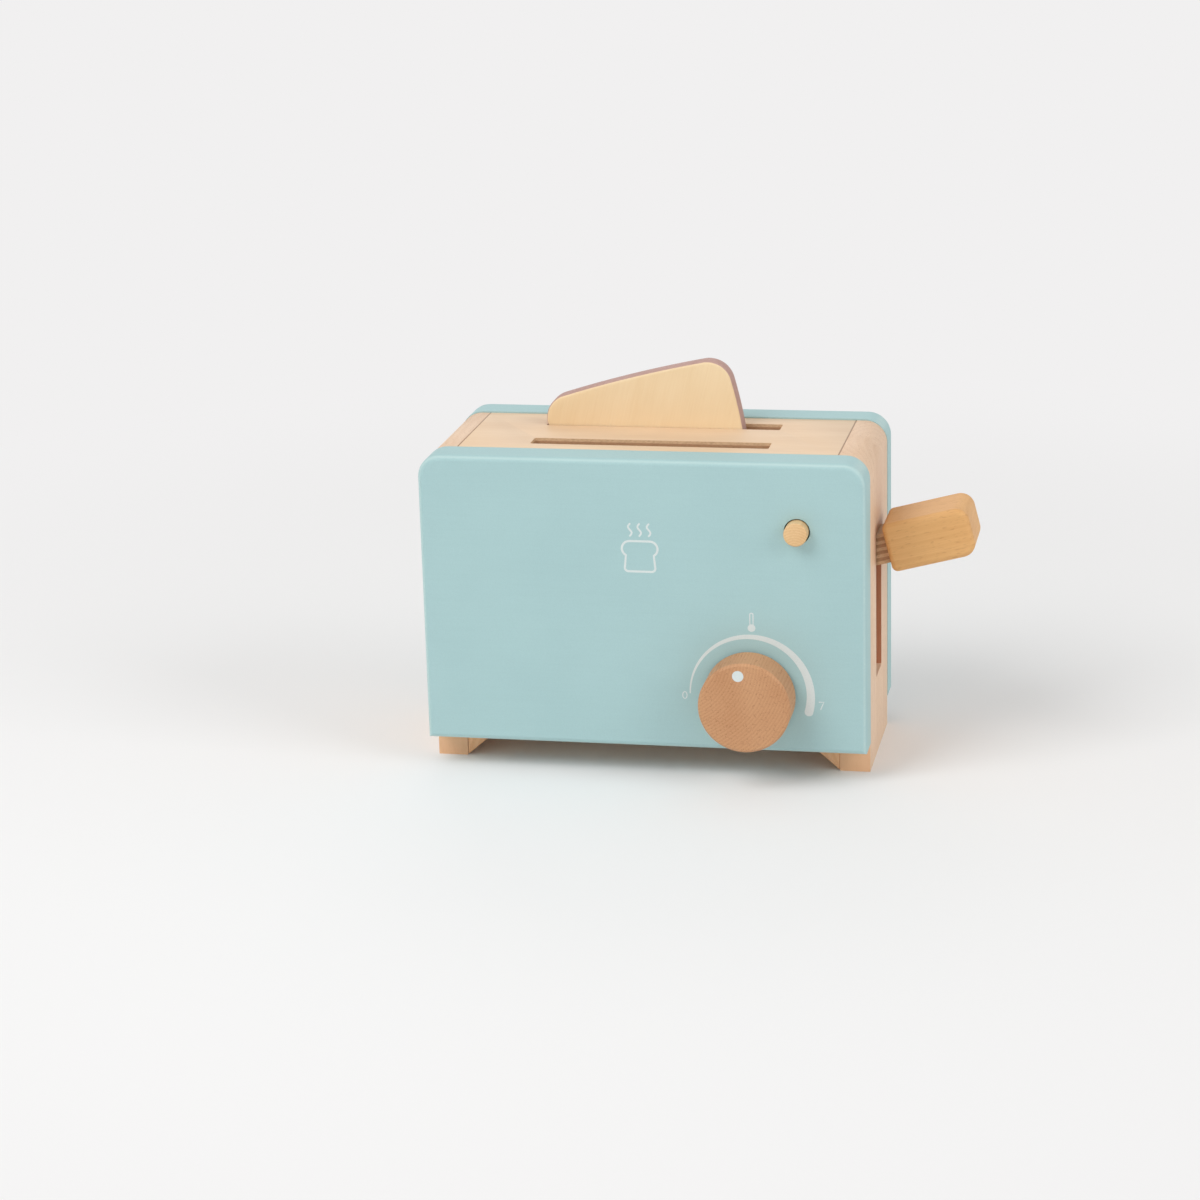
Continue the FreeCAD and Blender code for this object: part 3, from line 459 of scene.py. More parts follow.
knob_middle = middle_of("knob")
pale = (srgb(237, 208, 180), srgb(209, 172, 138))
golden = (srgb(247, 199, 153), srgb(222, 162, 114))
warm = (srgb(232, 184, 124), srgb(204, 146, 84))
rosy = (srgb(208, 160, 119), srgb(178, 123, 81))
UPRIGHT = (0, -90, 0)
ACROSS = (0, 0, 90)

side_wood = wood("pale_board", *pale, centre=(0, 0, 60), turn=UPRIGHT, heart=120, spacing=3.6,
                 ring_share=0.16, rays=0.34, rim=srgb(238, 187, 143), slot_shade=routed_slot)
foot_wood = wood("pale_foot", *golden, centre=(0, 0, 6), turn=ACROSS, heart=30, spacing=3.0,
                 rays=0.12)
handle_wood = wood("warm_handle", *warm, centre=middle_of("lever_handle"),
                   turn=(0, -LEVER_TILT, 0), heart=110, spacing=3.1, drift=4, ring_share=0.14,
                   rays=0.26)
knob_wood = wood("rosy_knob", *rosy, centre=knob_middle, turn=(125, 0, 90), heart=38, spacing=1.35,
                 drift=1.2, ring_share=0.23, rays=0.4)
peg_wood = wood("warm_peg", srgb(236, 201, 152), srgb(210, 163, 110),
                centre=middle_of("button_peg"), turn=ACROSS, heart=7, spacing=1.1, drift=1.0,
                ring_share=0.25, rays=0.2)
inner_wood = wood("beech_inside", *warm, centre=(0, 0, 60), turn=ACROSS, heart=40, spacing=3.0)
print("woods:", [m.name for m in bpy.data.materials if m.name.startswith(("pale", "warm", "rosy"))])

# %% [markdown]
# ## Plywood
#
# The top plate, the base and the lift board are plywood. Their faces are plain veneer. Their edges
# show the plies, dark and light in turn, because each ply's grain runs across the one before it.
#
# The plies need no geometry: the depth below the face says which ply a point is in, and how
# squarely the surface faces the board's thickness says whether it is a face or an edge.

# %% Plywood
# The width of the painted shadow in the gap between the plate and the side boards, in millimetres.
GAP_SHADOW = 0.8


def plywood(name, face, thickness, plies, centre, tilt=0.0, half_length=None):
    """Plywood whose faces lie across its own Z. The centre is a point of its top face.

    Where a half length is given, a painted shadow of the joint gap shows as a dark line at both
    ends.
    """
    finish = Finish(name, Specular_IOR_Level=0.35)
    space = finish.space(centre, (0, -tilt, 0))
    slope = math.radians(tilt)
    squarely = finish.facing((-math.sin(slope), 0, math.cos(slope)))
    on_face = squarely.ramp(0.45, 0.75)
    fibre = finish.noise(space, (0.045, 1.5, 1.5), detail=3.0, roughness=0.6)
    cloud = finish.noise(space, (0.012, 0.06, 0.06), detail=1.0)
    veneer_tone = (fibre - 0.5) * 0.7 + (cloud - 0.5) * 0.9 + 0.35
    veneer = finish.mix(veneer_tone.clamped(), *face)
    along = finish.add("ShaderNodeSeparateXYZ", {0: space}, out="X")
    depth = along.other("Z") * (-plies / thickness)
    ply = (depth * 0.5).fraction().ramp(0.42, 0.56)
    crumbs = finish.noise(space, (0.9, 0.9, 2.6), detail=2.0)
    edge = finish.mix(ply, srgb(224, 188, 148), srgb(188, 146, 110))
    edge = finish.mix(crumbs.ramp(0.35, 0.8) * 0.4, edge, srgb(152, 110, 78))
    colour = finish.mix(on_face, edge, veneer)
    if half_length:
        # Painted shadow: a dark line at both ends, where the gap to the side boards is.
        gap_shadow = abs(along).ramp(half_length - GAP_SHADOW, half_length - GAP_SHADOW / 2)
        colour = finish.mix(gap_shadow * 0.75, colour, srgb(132, 92, 64))
    roughness = 0.62 - on_face * 0.1 + (fibre - 0.5) * 0.12
    height = on_face * fibre + (1 - on_face) * (crumbs * 1.5 + ply)
    return finish.feed(colour, roughness, height, depth=0.06)


print("gap shadow:", GAP_SHADOW, "mm")

# %% Three boards of plywood
SHEET, SHEET_PLIES = 9, 7
LIFT_BOARD, LIFT_BOARD_PLIES = 13, 9
PIVOT_X, PIVOT_Z = -74, 48

veneers = (srgb(236, 209, 178), srgb(214, 180, 144))
plate_end, _, plate_top = (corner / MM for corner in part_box("top_plate")[1])
base_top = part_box("base_plate")[1][2] / MM
plate_ply = plywood("plywood_plate", veneers, SHEET, SHEET_PLIES, (0, 0, plate_top),
                    half_length=plate_end)
base_ply = plywood("plywood_base", veneers, SHEET, SHEET_PLIES, (0, 0, base_top))
tilt, rise = math.radians(LEVER_TILT), LIFT_BOARD / 2
board_face = (PIVOT_X - rise * math.sin(tilt), 0, PIVOT_Z + rise * math.cos(tilt))
board_ply = plywood("plywood_board", veneers, LIFT_BOARD, LIFT_BOARD_PLIES, board_face,
                    tilt=LEVER_TILT)
print("plywood faces at", round(plate_top, 1), "and", round(base_top, 1), "mm")

# %% [markdown]
# ## Teal paint
#
# The panels have two thin coats of matt paint. The paint is even, but not flat: the roller leaves
# a fine peel, the wood's long grain shows through a little, and the rounded edge is painted paler
# as a highlight.
#
# The painted highlight of the edge comes from the normal. On a flat face one part of it is 1; on a
# rounding none is.

# %% Paint
def teal_paint(name):
    """Rolled paint, with a peel, a little grain and a painted highlight on the rounded edges."""
    finish = Finish(name, Specular_IOR_Level=0.3)
    space = finish.space()
    peel = finish.noise(space, (1.6, 1.6, 1.6), detail=2.0)
    speck = finish.noise(space, (5.0, 5.0, 5.0), detail=1.0)
    grain = finish.noise(space, (0.03, 0.9, 0.9), detail=3.0)
    cloud = finish.noise(space, (0.02, 0.02, 0.02), detail=2.0)
    flattest = finish.facing((1, 0, 0)).at_least(finish.facing((0, 1, 0)))
    flattest = flattest.at_least(finish.facing((0, 0, 1)))
    rounded_edge = 1 - flattest.ramp(0.74, 0.97)
    tone = (cloud - 0.5) * 0.8 + (grain - 0.5) * 0.35
    tone = tone + (peel - 0.5) * 0.8 + (speck - 0.5) * 1.1 + 0.5
    colour = finish.mix(tone.clamped(), srgb(173, 205, 206), srgb(163, 195, 197))
    # Painted highlight: the rounded edges are made paler, as if lit, with a little grain in it.
    edge_highlight = rounded_edge * (0.45 + (grain - 0.5) * 0.9)
    colour = finish.mix(edge_highlight.clamped(), colour, srgb(196, 220, 217))
    roughness = 0.6 + (peel - 0.5) * 0.15 - rounded_edge * 0.08
    return finish.feed(colour, roughness, peel + grain * 0.6 + speck * 0.25, depth=0.035)


panel_paint = teal_paint("teal_paint")
print("paint:", panel_paint.name)

# %% [markdown]
# ## Steel, magnets and felt
#
# These small parts are inside, and little of them shows through the slots. Zinc-plated wire is a
# dull mirror with fine scratches, a nickel magnet is brighter, and felt is nothing but fibres.

# %% Small parts
def metal(name, colour, rough, scratch):
    """Metal that is duller in places and finely scratched."""
    finish = Finish(name, Metallic=1.0)
    space = finish.space()
    grain = finish.noise(space, (3.0, 3.0, 9.0), detail=2.0)
    dull = finish.noise(space, (0.3, 0.3, 0.3), detail=2.0)
    shade = tuple(level * 0.78 for level in colour[:3]) + (1.0,)
    tint = finish.mix(dull, colour, shade)
    return finish.feed(tint, rough + (grain - 0.5) * scratch, grain, depth=0.01)


def felt(name):
    """Pressed fibres with no gloss."""
    finish = Finish(name, Specular_IOR_Level=0.1)
    space = finish.space()
    fibres = finish.noise(space, (2.5, 2.5, 2.5), detail=4.0, roughness=0.7)
    colour = finish.mix(fibres, srgb(206, 203, 195), srgb(176, 171, 162))
    return finish.feed(colour, 0.95 - fibres * 0.05, fibres, depth=0.25)


zinc = metal("zinc_steel", srgb(206, 208, 210), rough=0.36, scratch=0.2)
nickel = metal("nickel_magnet", srgb(214, 210, 202), rough=0.2, scratch=0.1)
grey_felt = felt("grey_felt")
print("small parts:", zinc.name, nickel.name, grey_felt.name)

# %% [markdown]
# ## The slice of toast
#
# The slice is a board of pale wood. Its rim is painted as crust, in a dull brown with some mauve.
# The paint stops at the edge of the face, so the mask is again how squarely the surface faces the
# front.

# %% Toast
SLICE_MIDDLE, SLICE_GRAIN = (0, 16.5, 100), (0, -76, 0)


def toast(name):
    """A pale face and a rim of crust."""
    finish = Finish(name, Specular_IOR_Level=0.3)
    space = finish.space(SLICE_MIDDLE, SLICE_GRAIN)
    fibre = finish.noise(space, (0.05, 1.3, 1.3), detail=3.0, roughness=0.6)
    cloud = finish.noise(space, (0.012, 0.05, 0.05), detail=2.0)
    crumb = finish.noise(space, (0.8, 0.8, 0.8), detail=2.0)
    face_tone = (fibre - 0.5) * 0.5 + (cloud - 0.5) * 1.0 + 0.35
    face = finish.mix(face_tone.clamped(), srgb(244, 221, 184), srgb(229, 198, 151))
    crust_tone = (fibre - 0.5) * 0.8 + (crumb - 0.5) * 0.5 + (cloud - 0.5) * 0.8 + 0.45
    crust = finish.mix(crust_tone.clamped(), srgb(200, 168, 161), srgb(171, 131, 118))
    edge = finish.facing((0, 1, 0)) + (crumb - 0.5) * 0.12
    on_face = edge.ramp(0.62, 0.78)
    colour = finish.mix(on_face, crust, face)
    roughness = 0.66 - on_face * 0.08 + (fibre - 0.5) * 0.1
    return finish.feed(colour, roughness, fibre + crumb * 0.5, depth=0.05)


toast_paint = toast("toast_paint")
print("toast:", toast_paint.name)

# %% [markdown]
# ## Finishes on the CAD solids
#
# Each solid keeps its shape and gets the finish of the stock it is made from. Replacing a solid is
# only worth it where its shape needs more than CAD gave it, which comes afterwards.

# %% Dress the solids
STOCK = {
    panel_paint: ["front_panel", "back_panel"],
    side_wood: ["left_side_board", "right_side_board"],
    foot_wood: ["left_foot_block", "right_foot_block"],
    plate_ply: ["top_plate"],
    base_ply: ["base_plate"],
    board_ply: ["lift_board"],
    handle_wood: ["lever_handle", "handle_dowel"],
    knob_wood: ["knob"],
    peg_wood: ["button_peg"],
    inner_wood: ["panel_dowels", "corner_dowels", "axle_spacers", "stop_block", "knob_spindle",
                 "spindle_collar", "button_collar", "button_guide_block"],
    zinc: ["pivot_axle", "upper_screw_eye", "lower_screw_eye", "stop_block_screws", "collar_pin",
           "button_spring", "return_spring"],
    nickel: ["base_magnet", "board_magnet"],
    grey_felt: ["knob_washer"],
    toast_paint: ["toast_slice"],
}
finish_of = {node: material for material, names in STOCK.items() for node in names}
for node, piece in nodes.items():
    piece.data.materials.clear()
    piece.data.materials.append(finish_of[node])
print("dressed", len(finish_of), "of", len(nodes), "solids")

# %% [markdown]
# ## Softened boards
#
# Sanded wood has no sharp corner. A Bevel modifier rounds every edge that is sharper than a limit,
# and the small rounding catches the light. CAD could round them too, but the sanding isn't a size
# of the toy, and a bevel in mesh is quick to change.
#
# The CAD mesh is loose triangles. So a copy is merged first, flat areas become one face again, and
# the bevel then has true edges to follow.

# %% Helpers for meshes
MERGE = 1e-6
FLAT = math.radians(0.2)
BODY_OF = {node: piece["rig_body"] for node, piece in nodes.items()}


def merged_copy(node):
    """The solid's mesh with its triangles joined up and each flat area made one face."""
    mesh = bpy.data.meshes.new(node + "_copy")
    work = bmesh.new()
    work.from_mesh(nodes[node].data)
    bmesh.ops.remove_doubles(work, verts=work.verts, dist=MERGE)
    bmesh.ops.dissolve_limit(work, angle_limit=FLAT, verts=work.verts, edges=work.edges)
    work.to_mesh(mesh)
    work.free()
    return mesh


def plain_mesh(piece):
    """Apply the modifiers of a piece and leave a plain mesh."""
    ready = piece.evaluated_get(bpy.context.evaluated_depsgraph_get())
    mesh = bpy.data.meshes.new_from_object(ready)
    piece.modifiers.clear()
    piece.data = mesh
    return piece


def new_piece(name, mesh):
    """An object for a mesh, at the origin."""
    piece = bpy.data.objects.new(name, mesh)
    bpy.context.scene.collection.objects.link(piece)
    return piece


# %% Sanding
SANDING = {"toast_slice": 1.4, "top_plate": 0.35, "left_side_board": 0.4, "right_side_board": 0.4,
           "left_foot_block": 0.8, "right_foot_block": 0.8}
BEVEL_STEPS, SHARP = 3, math.radians(30)


def sanded(node, width):
    """A copy of a solid with its sharp edges rounded, that stands for the solid."""
    piece = new_piece(node + "_sanded", merged_copy(node))
    bevel = piece.modifiers.new("sanding", "BEVEL")
    bevel.width, bevel.segments = width * MM, BEVEL_STEPS
    bevel.limit_method, bevel.angle_limit = "ANGLE", SHARP
    bevel.harden_normals = True
    for polygon in piece.data.polygons:
        polygon.use_smooth = True
    plain_mesh(piece)
    piece.data.materials.clear()
    piece.data.materials.append(finish_of[node])
    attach(piece, BODY_OF[node])
    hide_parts(node)
    return piece


for node, width in SANDING.items():
    piece = sanded(node, width)
    print(piece.name, len(piece.data.polygons), "faces, rounded by", width, "mm")

# %% [markdown]
# ## Geometry Nodes recipes
#
# A recipe is a Geometry Nodes tree with named inputs. An object gets it as a modifier, the inputs
# are set, and the result is kept as a plain mesh. So one recipe makes many pieces of many sizes.

# %% Recipe
class Recipe(Graph):
    """A Geometry Nodes tree with named inputs, given as name: socket type."""

    def __init__(self, name, inputs):
        super().__init__(bpy.data.node_groups.new(name, "GeometryNodeTree"))
        face = self.tree.interface
        face.new_socket("Geometry", in_out="INPUT", socket_type="NodeSocketGeometry")
        face.new_socket("Geometry", in_out="OUTPUT", socket_type="NodeSocketGeometry")
        self.sockets = {
            title: face.new_socket(title, in_out="INPUT", socket_type="NodeSocket" + kind)
            for title, kind in {**inputs, "Material": "Material"}.items()}
        self.group_input = self.tree.nodes.new("NodeGroupInput")

    def given(self, title):
        return Value(self, self.group_input.outputs[title])

    def serve(self, geometry, smooth):
        """The end of every recipe: real geometry, smooth or flat, in its material."""
        real = self.add("GeometryNodeRealizeInstances", {"Geometry": geometry})
        smooth = self.add("GeometryNodeSetShadeSmooth", {"Geometry": real, "Shade Smooth": smooth})
        dressed = self.add(
            "GeometryNodeSetMaterial", {"Geometry": smooth, "Material": self.given("Material")})
        output = self.tree.nodes.new("NodeGroupOutput")
        self.tree.links.new(dressed.socket, output.inputs["Geometry"])

    def make(self, name, mesh, **values):
        """Run the recipe on a mesh and keep what comes out as a plain piece."""
        piece = new_piece(name, mesh)
        modifier = piece.modifiers.new(name, "NODES")
        modifier.node_group = self.tree
        for title, value in values.items():
            modifier[self.sockets[title].identifier] = value
        piece.update_tag()
        return plain_mesh(piece)


print("a recipe takes a mesh and its named sizes, and gives a plain mesh back")

# %% [markdown]
# ## The print
#
# The dial and the signs are screen-printed in white, as a layer of ink that is thinner than a hair.
# As a decal it would need a picture. As geometry it stays sharp at any distance.
#
# Every sign is made of strokes. The recipe turns a stroke into a thin ribbon and puts a round dot
# on each point that is marked as an end. The width is stored on the stroke's own points, so the
# dial's arc can grow from thin to thick, which tells a child that more is further round.
#
# The dot is a little thinner than the ribbon, because two faces in one plane would fight.

# %% Print recipe
printed = Recipe("printed_strokes", {"Lift": "Float"})
INK_SHARE, DOT_SHARE = 0.01, 0.008

stroke = printed.add("GeometryNodeMeshToCurve", {"Mesh": printed.given("Geometry")})
width = printed.add("GeometryNodeInputNamedAttribute", {"Name": "width"}, data_type="FLOAT")
profile = printed.add(
    "GeometryNodeCurvePrimitiveQuadrilateral", {"Width": 1.0, "Height": INK_SHARE})
ribbon = printed.add("GeometryNodeCurveToMesh", {
    "Curve": stroke, "Profile Curve": profile, "Scale": width, "Fill Caps": True})
dot = printed.add(
    "GeometryNodeMeshCylinder", {"Vertices": 40, "Radius": 0.5, "Depth": DOT_SHARE})
is_end = printed.add("GeometryNodeInputNamedAttribute", {"Name": "end"}, data_type="BOOLEAN")
ends = printed.add("GeometryNodeInstanceOnPoints", {
    "Points": printed.given("Geometry"), "Selection": is_end, "Instance": dot, "Scale": width})
both = printed.add("GeometryNodeJoinGeometry", {"Geometry": ribbon})
printed.tree.links.new(ends.socket, both.socket.node.inputs["Geometry"])
lift = printed.add("ShaderNodeCombineXYZ", {"Z": printed.given("Lift")})
lifted = printed.add("GeometryNodeTransform", {"Geometry": both, "Translation": lift})
printed.serve(lifted, smooth=False)
print("print recipe:", len(printed.tree.nodes), "nodes")

# %% [markdown]
# The ink is matt and a little uneven, as if the screen hadn't let quite the same amount through
# everywhere, so the teal below greys it slightly in small spots.

# %% Ink
def ink(name):
    """Matt white, greyed in small spots."""
    finish = Finish(name, Specular_IOR_Level=0.25)
    space = finish.space()
    cover = finish.noise(space, (2.2, 2.2, 2.2), detail=3.0)
    colour = finish.mix(cover.ramp(0.45, 0.8) * 0.5, srgb(216, 224, 223), srgb(194, 212, 211))
    return finish.feed(colour, 0.55 + cover * 0.1, cover, depth=0.01)


white_ink = ink("white_ink")
print("ink:", white_ink.name)

# %% [markdown]
# A stroke is written as a list of points. A small mesh of points and edges carries it into the
# recipe, with the width and the mark of an end as attributes. The print is made flat, stood upright
# and moved to its face, and then it rides on the body that it is printed on.

# %% Strokes
LIFT = 0.03 * MM
STAND_UP = Matrix.Rotation(math.pi / 2, 4, "X")


def strokes_mesh(name, strokes):
    """Strokes as chains of points: across and up in millimetres, and the width there.

    A stroke of one point is a dot, and one that comes back to its first point is closed.
    """
    points, chains, widths, ends = [], [], [], []
    for line in strokes:
        start, closed = len(points), len(line) > 1 and line[0] == line[-1]
        kept = line[:-1] if closed else line
        last = start + len(kept) - 1
        points += [(across * MM, up * MM, 0) for across, up, wide in kept]
        widths += [wide * MM for across, up, wide in kept]
        ends += [not closed and i in (start, last) for i in range(start, last + 1)]
        chains += [(i, i + 1) for i in range(start, last)] + ([(last, start)] if closed else [])
    mesh = bpy.data.meshes.new(name)
    mesh.from_pydata(points, chains, [])
    mesh.attributes.new("width", "FLOAT", "POINT").data.foreach_set("value", widths)
    mesh.attributes.new("end", "BOOLEAN", "POINT").data.foreach_set("value", ends)
    return mesh


def print_on(name, strokes, face_y, body="housing"):
    """Print strokes on a face that looks to the front."""
    piece = printed.make(name, strokes_mesh(name, strokes), Lift=LIFT, Material=white_ink)
    piece.data.transform(Matrix.Translation((0, face_y, 0)) @ STAND_UP)
    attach(piece, body)
    print(piece.name, len(piece.data.polygons), "faces")


def arc(centre, radius, start, end, wide_start, wide_end=None, steps=48, squash=1.0):
    """Points on an arc, from one angle to another in degrees, with the width going along."""
    wide_end = wide_start if wide_end is None else wide_end
    line = []
    for i in range(steps + 1):
        share = i / steps
        angle = math.radians(start + (end - start) * share)
        wide = wide_start + (wide_end - wide_start) * share
        line.append((centre[0] + radius * squash * math.cos(angle),
                     centre[1] + radius * math.sin(angle), wide))
    return line


front_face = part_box("front_panel")[0][1]
knob_x, knob_z = knob_middle[0], knob_middle[2]
print("front face at", round(front_face / MM, 2), "mm, knob at", round(knob_x, 1), round(knob_z, 1))

# %% [markdown]
# ## The dial
#
# One arc and two figures stand round the knob. An arc could be a curve object, but a list of points
# lets each point carry its own width. The 0 is a squashed circle, and the 7 is a stroke with a
# corner and a slight bend.

# %% Dial
DIAL_RADIUS, DIAL_FROM, DIAL_TO, DIAL_STEPS = 25.7, 180, -14.8, 110
DIAL_THIN, DIAL_THICK, FIGURE_LINE = 0.55, 3.75, 0.42
dial = arc((knob_x, knob_z), DIAL_RADIUS, DIAL_FROM, DIAL_TO, DIAL_THIN, DIAL_THICK, DIAL_STEPS)
print_on("dial_arc", [dial], front_face)

zero_place, seven_place = (18.0, 36.9), (76.2, 34.4)
zero = arc(zero_place, 1.5, 0, 360, FIGURE_LINE, squash=0.62, steps=40)
zero = [zero[:-1] + zero[:1]]
seven = [[(seven_place[0] + x, seven_place[1] + z, FIGURE_LINE)
          for x, z in ((-1.0, 1.6), (1.0, 1.6), (0.3, 0.0), (-0.35, -1.65))]]
print_on("dial_zero", zero, front_face)
print_on("dial_seven", seven, front_face)

# %% [markdown]
# The thermometer is a tube with a bulb. The tube is one closed stroke round a thin slit, and the
# bulb is a stroke of a single point, which is a dot.

# %% Thermometer
THERMO_X, THERMO_FOOT, THERMO_TOP = 46.9, 67.6, 74.1
TUBE_HALF, TUBE_LINE, BULB = 0.68, 0.52, 3.3
tube = arc((THERMO_X, THERMO_TOP - TUBE_HALF), TUBE_HALF, 0, 180, TUBE_LINE, steps=14)
tube += [(THERMO_X - TUBE_HALF, THERMO_FOOT, TUBE_LINE),
         (THERMO_X + TUBE_HALF, THERMO_FOOT, TUBE_LINE)]
tube.append(tube[0])
bulb = [(THERMO_X, THERMO_FOOT, BULB)]
print_on("thermometer", [tube, bulb], front_face)

# %% [markdown]
# ## A sign of toast
#
# The middle of the front gets a plain pictogram: the outline of a slice with warm air rising from
# it. The slice is wide at the shoulders and narrow at the waist.

# %% Toast sign
SIGN_X, SIGN_Z, SIGN_LINE = 0.0, 97.4, 0.95
BREAD_HALF, BREAD_HEIGHT, SHOULDER, CORNER, WAIST_IN = 7.6, 13.2, 3.3, 1.5, 1.1
AIR_LINE, AIR_SWING, AIR_LOW, AIR_HEIGHT, AIR_STEPS = 0.8, 0.75, 8.9, 5.2, 20


def bread_outline():
    """Round shoulders, a waist and small round corners at the foot."""
    top, foot, waist = BREAD_HEIGHT / 2, -BREAD_HEIGHT / 2, BREAD_HALF - WAIST_IN
    shoulder_x, corner_x = BREAD_HALF - SHOULDER, waist - CORNER
    line = arc((-shoulder_x, top - SHOULDER), SHOULDER, 240, 90, SIGN_LINE, steps=24)
    line += arc((shoulder_x, top - SHOULDER), SHOULDER, 90, -60, SIGN_LINE, steps=24)
    line += arc((corner_x, foot + CORNER), CORNER, 0, -90, SIGN_LINE, steps=12)
    line += arc((-corner_x, foot + CORNER), CORNER, 270, 180, SIGN_LINE, steps=12)
    return line + [line[0]]


def warm_air(across):
    """One S-shaped stroke."""
    shares = [i / AIR_STEPS for i in range(AIR_STEPS + 1)]
    return [(across + AIR_SWING * math.sin(2 * math.pi * share), AIR_LOW + AIR_HEIGHT * share,
             AIR_LINE) for share in shares]


sign = [bread_outline()] + [warm_air(x) for x in (-4.0, 0.0, 4.0)]
sign = [[(SIGN_X + x, SIGN_Z + z, wide) for x, z, wide in line] for line in sign]
print_on("toast_sign", sign, front_face)

# %% [markdown]
# The knob's white dot says where the knob stands. It rides on the knob's body and turns with it.

# %% Pointer on the knob
POINTER_ACROSS, POINTER_UP, POINTER = -2.3, 14.1, 4.8
pointer = [(knob_x + POINTER_ACROSS, knob_z + POINTER_UP, POINTER)]
print_on("knob_pointer", [pointer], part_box("knob")[0][1], body="knob")

# %% [markdown]
# ## Springs
#
# The button stands on a coil spring, which gets shorter when the button is pushed. A coil follows a
# rule, a circle that climbs, so Geometry Nodes makes it from a spiral and a round wire.

# %% Button spring
WIRE, TURNS, PUSH = 0.4 * MM, 5.0, 5 * MM
coil = Recipe("coil", {"Turns": "Float", "Radius": "Float", "Height": "Float", "Wire": "Float"})
spiral = coil.add("GeometryNodeCurveSpiral", {
    "Resolution": 28, "Rotations": coil.given("Turns"), "Start Radius": coil.given("Radius"),
    "End Radius": coil.given("Radius"), "Height": coil.given("Height")})
wire = coil.add(
    "GeometryNodeCurvePrimitiveCircle", {"Resolution": 10, "Radius": coil.given("Wire")})
coil.serve(coil.add("GeometryNodeCurveToMesh", {
    "Curve": spiral, "Profile Curve": wire, "Fill Caps": True}), smooth=True)

low, high = (Vector(corner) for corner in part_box("button_spring"))
middle = (low + high) / 2
spring = coil.make("button_coil", bpy.data.meshes.new("button_coil"), Turns=TURNS,
                   Radius=(high.x - low.x) / 2 - WIRE, Height=high.y - low.y - 2 * WIRE, Wire=WIRE,
                   Material=zinc)
spring.data.transform(Matrix.Translation((middle.x, high.y - WIRE, middle.z)) @ STAND_UP)
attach(spring, "housing")
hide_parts("button_spring")
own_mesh(spring)

# %% [markdown]
# The return spring hangs from the top plate and pulls the lift board up.

# %% Return spring
hanger = new_piece("return_coil", merged_copy("return_spring"))
hanger.data.materials.clear()
hanger.data.materials.append(zinc)
for polygon in hanger.data.polygons:
    polygon.use_smooth = True
low, high = (Vector(corner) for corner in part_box("return_spring"))
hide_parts("return_spring")
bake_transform(hanger)
print("return coil hangs from", round(high.z / MM, 1), "to", round(low.z / MM, 1), "mm")

# %% [markdown]
# ## Screws underneath
#
# Two countersunk screws hold the stop block from below. The right foot block covers most of their
# heads, so only a sliver of each shows when the toy is turned over. As parts of their own they
# still need a cross recess. So an outline is spun into a screw, as on a lathe, and the cross is
# cut out of it with a Boolean.

# %% Tools for a screw
SPIN_STEPS = 32


def turned(outline):
    """Spin an outline of radius and height, in millimetres, about Z."""
    work = bmesh.new()
    points = [work.verts.new((radius * MM, 0, height * MM)) for radius, height in outline]
    edges = [work.edges.new(pair) for pair in zip(points, points[1:])]
    bmesh.ops.spin(work, geom=points + edges, cent=(0, 0, 0), axis=(0, 0, 1),
                   angle=2 * math.pi, steps=SPIN_STEPS)
    bmesh.ops.remove_doubles(work, verts=work.verts, dist=MERGE)
    bmesh.ops.recalc_face_normals(work, faces=work.faces)
    mesh = bpy.data.meshes.new("turned")
    work.to_mesh(mesh)
    work.free()
    return mesh


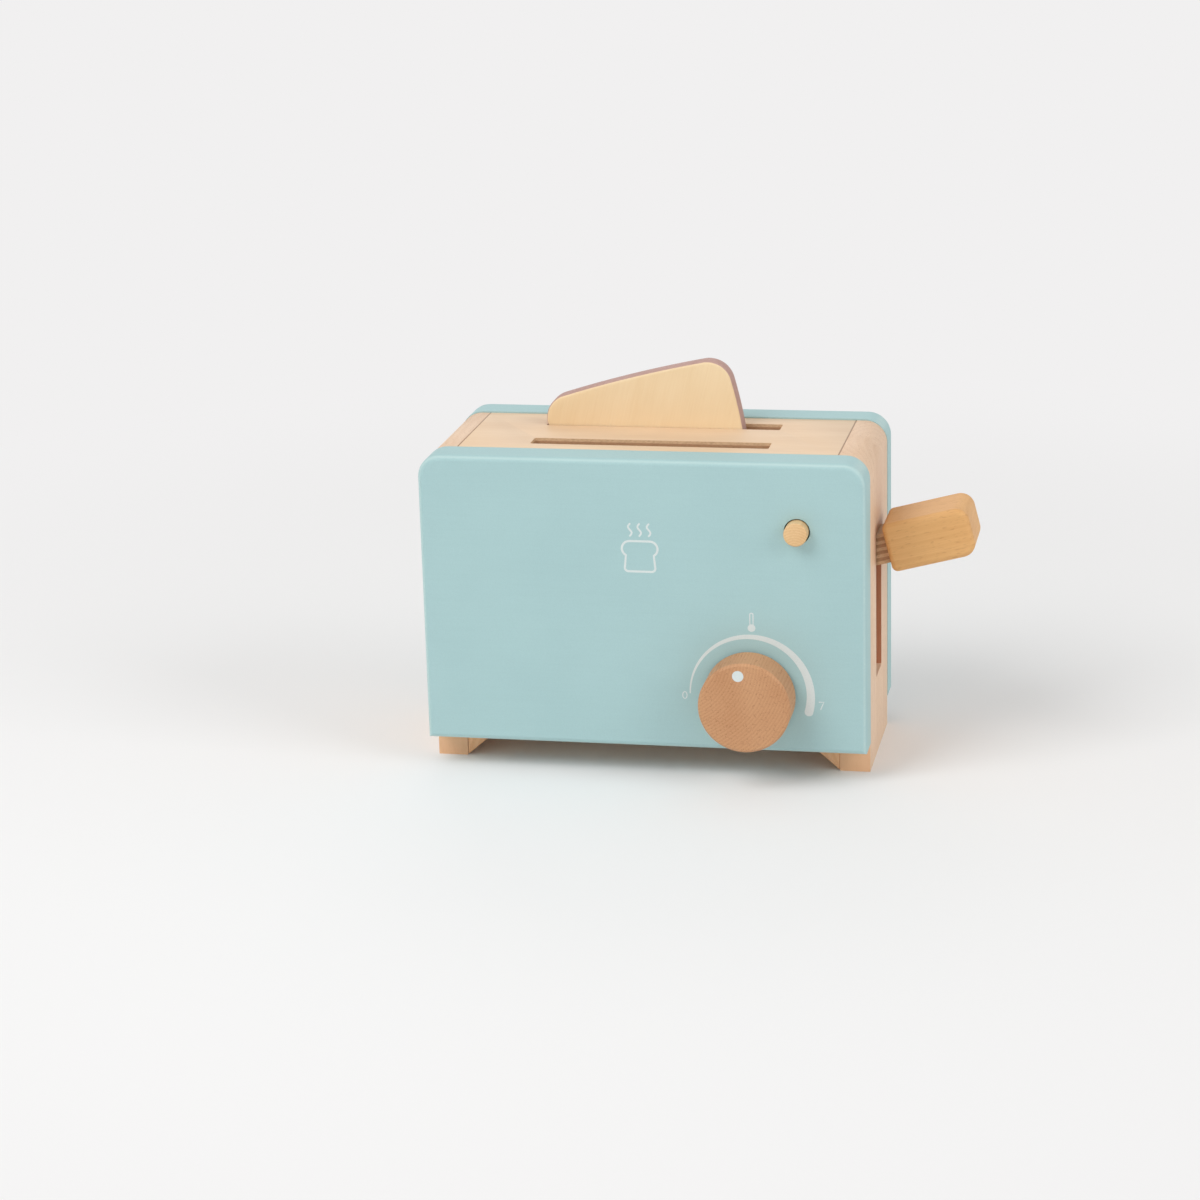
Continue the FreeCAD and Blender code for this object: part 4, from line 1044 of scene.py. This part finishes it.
def cross_cutter(reach, wide, depth, taper):
    """Two crossed bars that get shorter as they go in, down to a share called taper."""
    work = bmesh.new()
    for turn in (0, 90):
        bar = bmesh.ops.create_cube(work, size=1)["verts"]
        for vertex in bar:
            share = taper if vertex.co.z > 0 else 1.0
            vertex.co = Vector((vertex.co.x * 2 * reach * share, vertex.co.y * wide,
                                vertex.co.z * 2 * depth)) * MM
        quarter = Matrix.Rotation(math.radians(turn), 3, "Z")
        bmesh.ops.rotate(work, verts=bar, cent=(0, 0, 0), matrix=quarter)
    mesh = bpy.data.meshes.new("cross_cutter")
    work.to_mesh(mesh)
    work.free()
    return new_piece("cross_cutter", mesh)


print("a screw is spun in", SPIN_STEPS, "steps")

# %% One screw
HEAD, SHANK, SINK, POINT = 3.0, 1.5, 2.4, 2
low, high = (Vector(corner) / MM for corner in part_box("stop_block_screws"))
length = high.z - low.z
screw = new_piece("one_screw", turned(
    [(0, 0), (HEAD - 0.2, 0), (HEAD, 0.15), (SHANK, SINK), (SHANK, length - POINT), (0, length)]))
cutter = cross_cutter(reach=1.75, wide=0.62, depth=1.5, taper=0.55)
recess = screw.modifiers.new("recess", "BOOLEAN")
recess.object, recess.operation, recess.solver = cutter, "DIFFERENCE", "EXACT"
recess.use_self = True
plain_mesh(screw)
bpy.data.objects.remove(cutter)
print("one screw:", len(screw.data.polygons), "faces,", round(length, 1), "mm long")

# %% [markdown]
# Geometry Nodes puts a copy on each point and turns it by its own chance angle, because no one
# lines up screws. The seed is fixed, so the angles are the same each time.

# %% Screws on their points
SEED = 4
screws = Recipe("screws", {"Screw": "Object", "Seed": "Int"})
# Sockets 3 and 8 of this node are the largest float and the seed.
angle = screws.add("FunctionNodeRandomValue", {3: math.pi, 8: screws.given("Seed")}, out=1,
                   data_type="FLOAT")
turn = screws.add("ShaderNodeCombineXYZ", {"Z": angle})
shape = screws.add("GeometryNodeObjectInfo", {"Object": screws.given("Screw")}, out="Geometry")
screws.serve(screws.add("GeometryNodeInstanceOnPoints", {
    "Points": screws.given("Geometry"), "Instance": shape, "Rotation": turn}), smooth=False)

places = bpy.data.meshes.new("screw_places")
middle = (low + high) / 2
heads = [(middle.x * MM, y * MM, low.z * MM) for y in (low.y + HEAD, high.y - HEAD)]
places.from_pydata(heads, [], [])
pair = screws.make("cross_screws", places, Screw=screw, Seed=SEED, Material=zinc)
bpy.data.objects.remove(screw)
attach(pair, "housing")
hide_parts("stop_block_screws")
print("screws:", len(pair.data.polygons), "faces in all")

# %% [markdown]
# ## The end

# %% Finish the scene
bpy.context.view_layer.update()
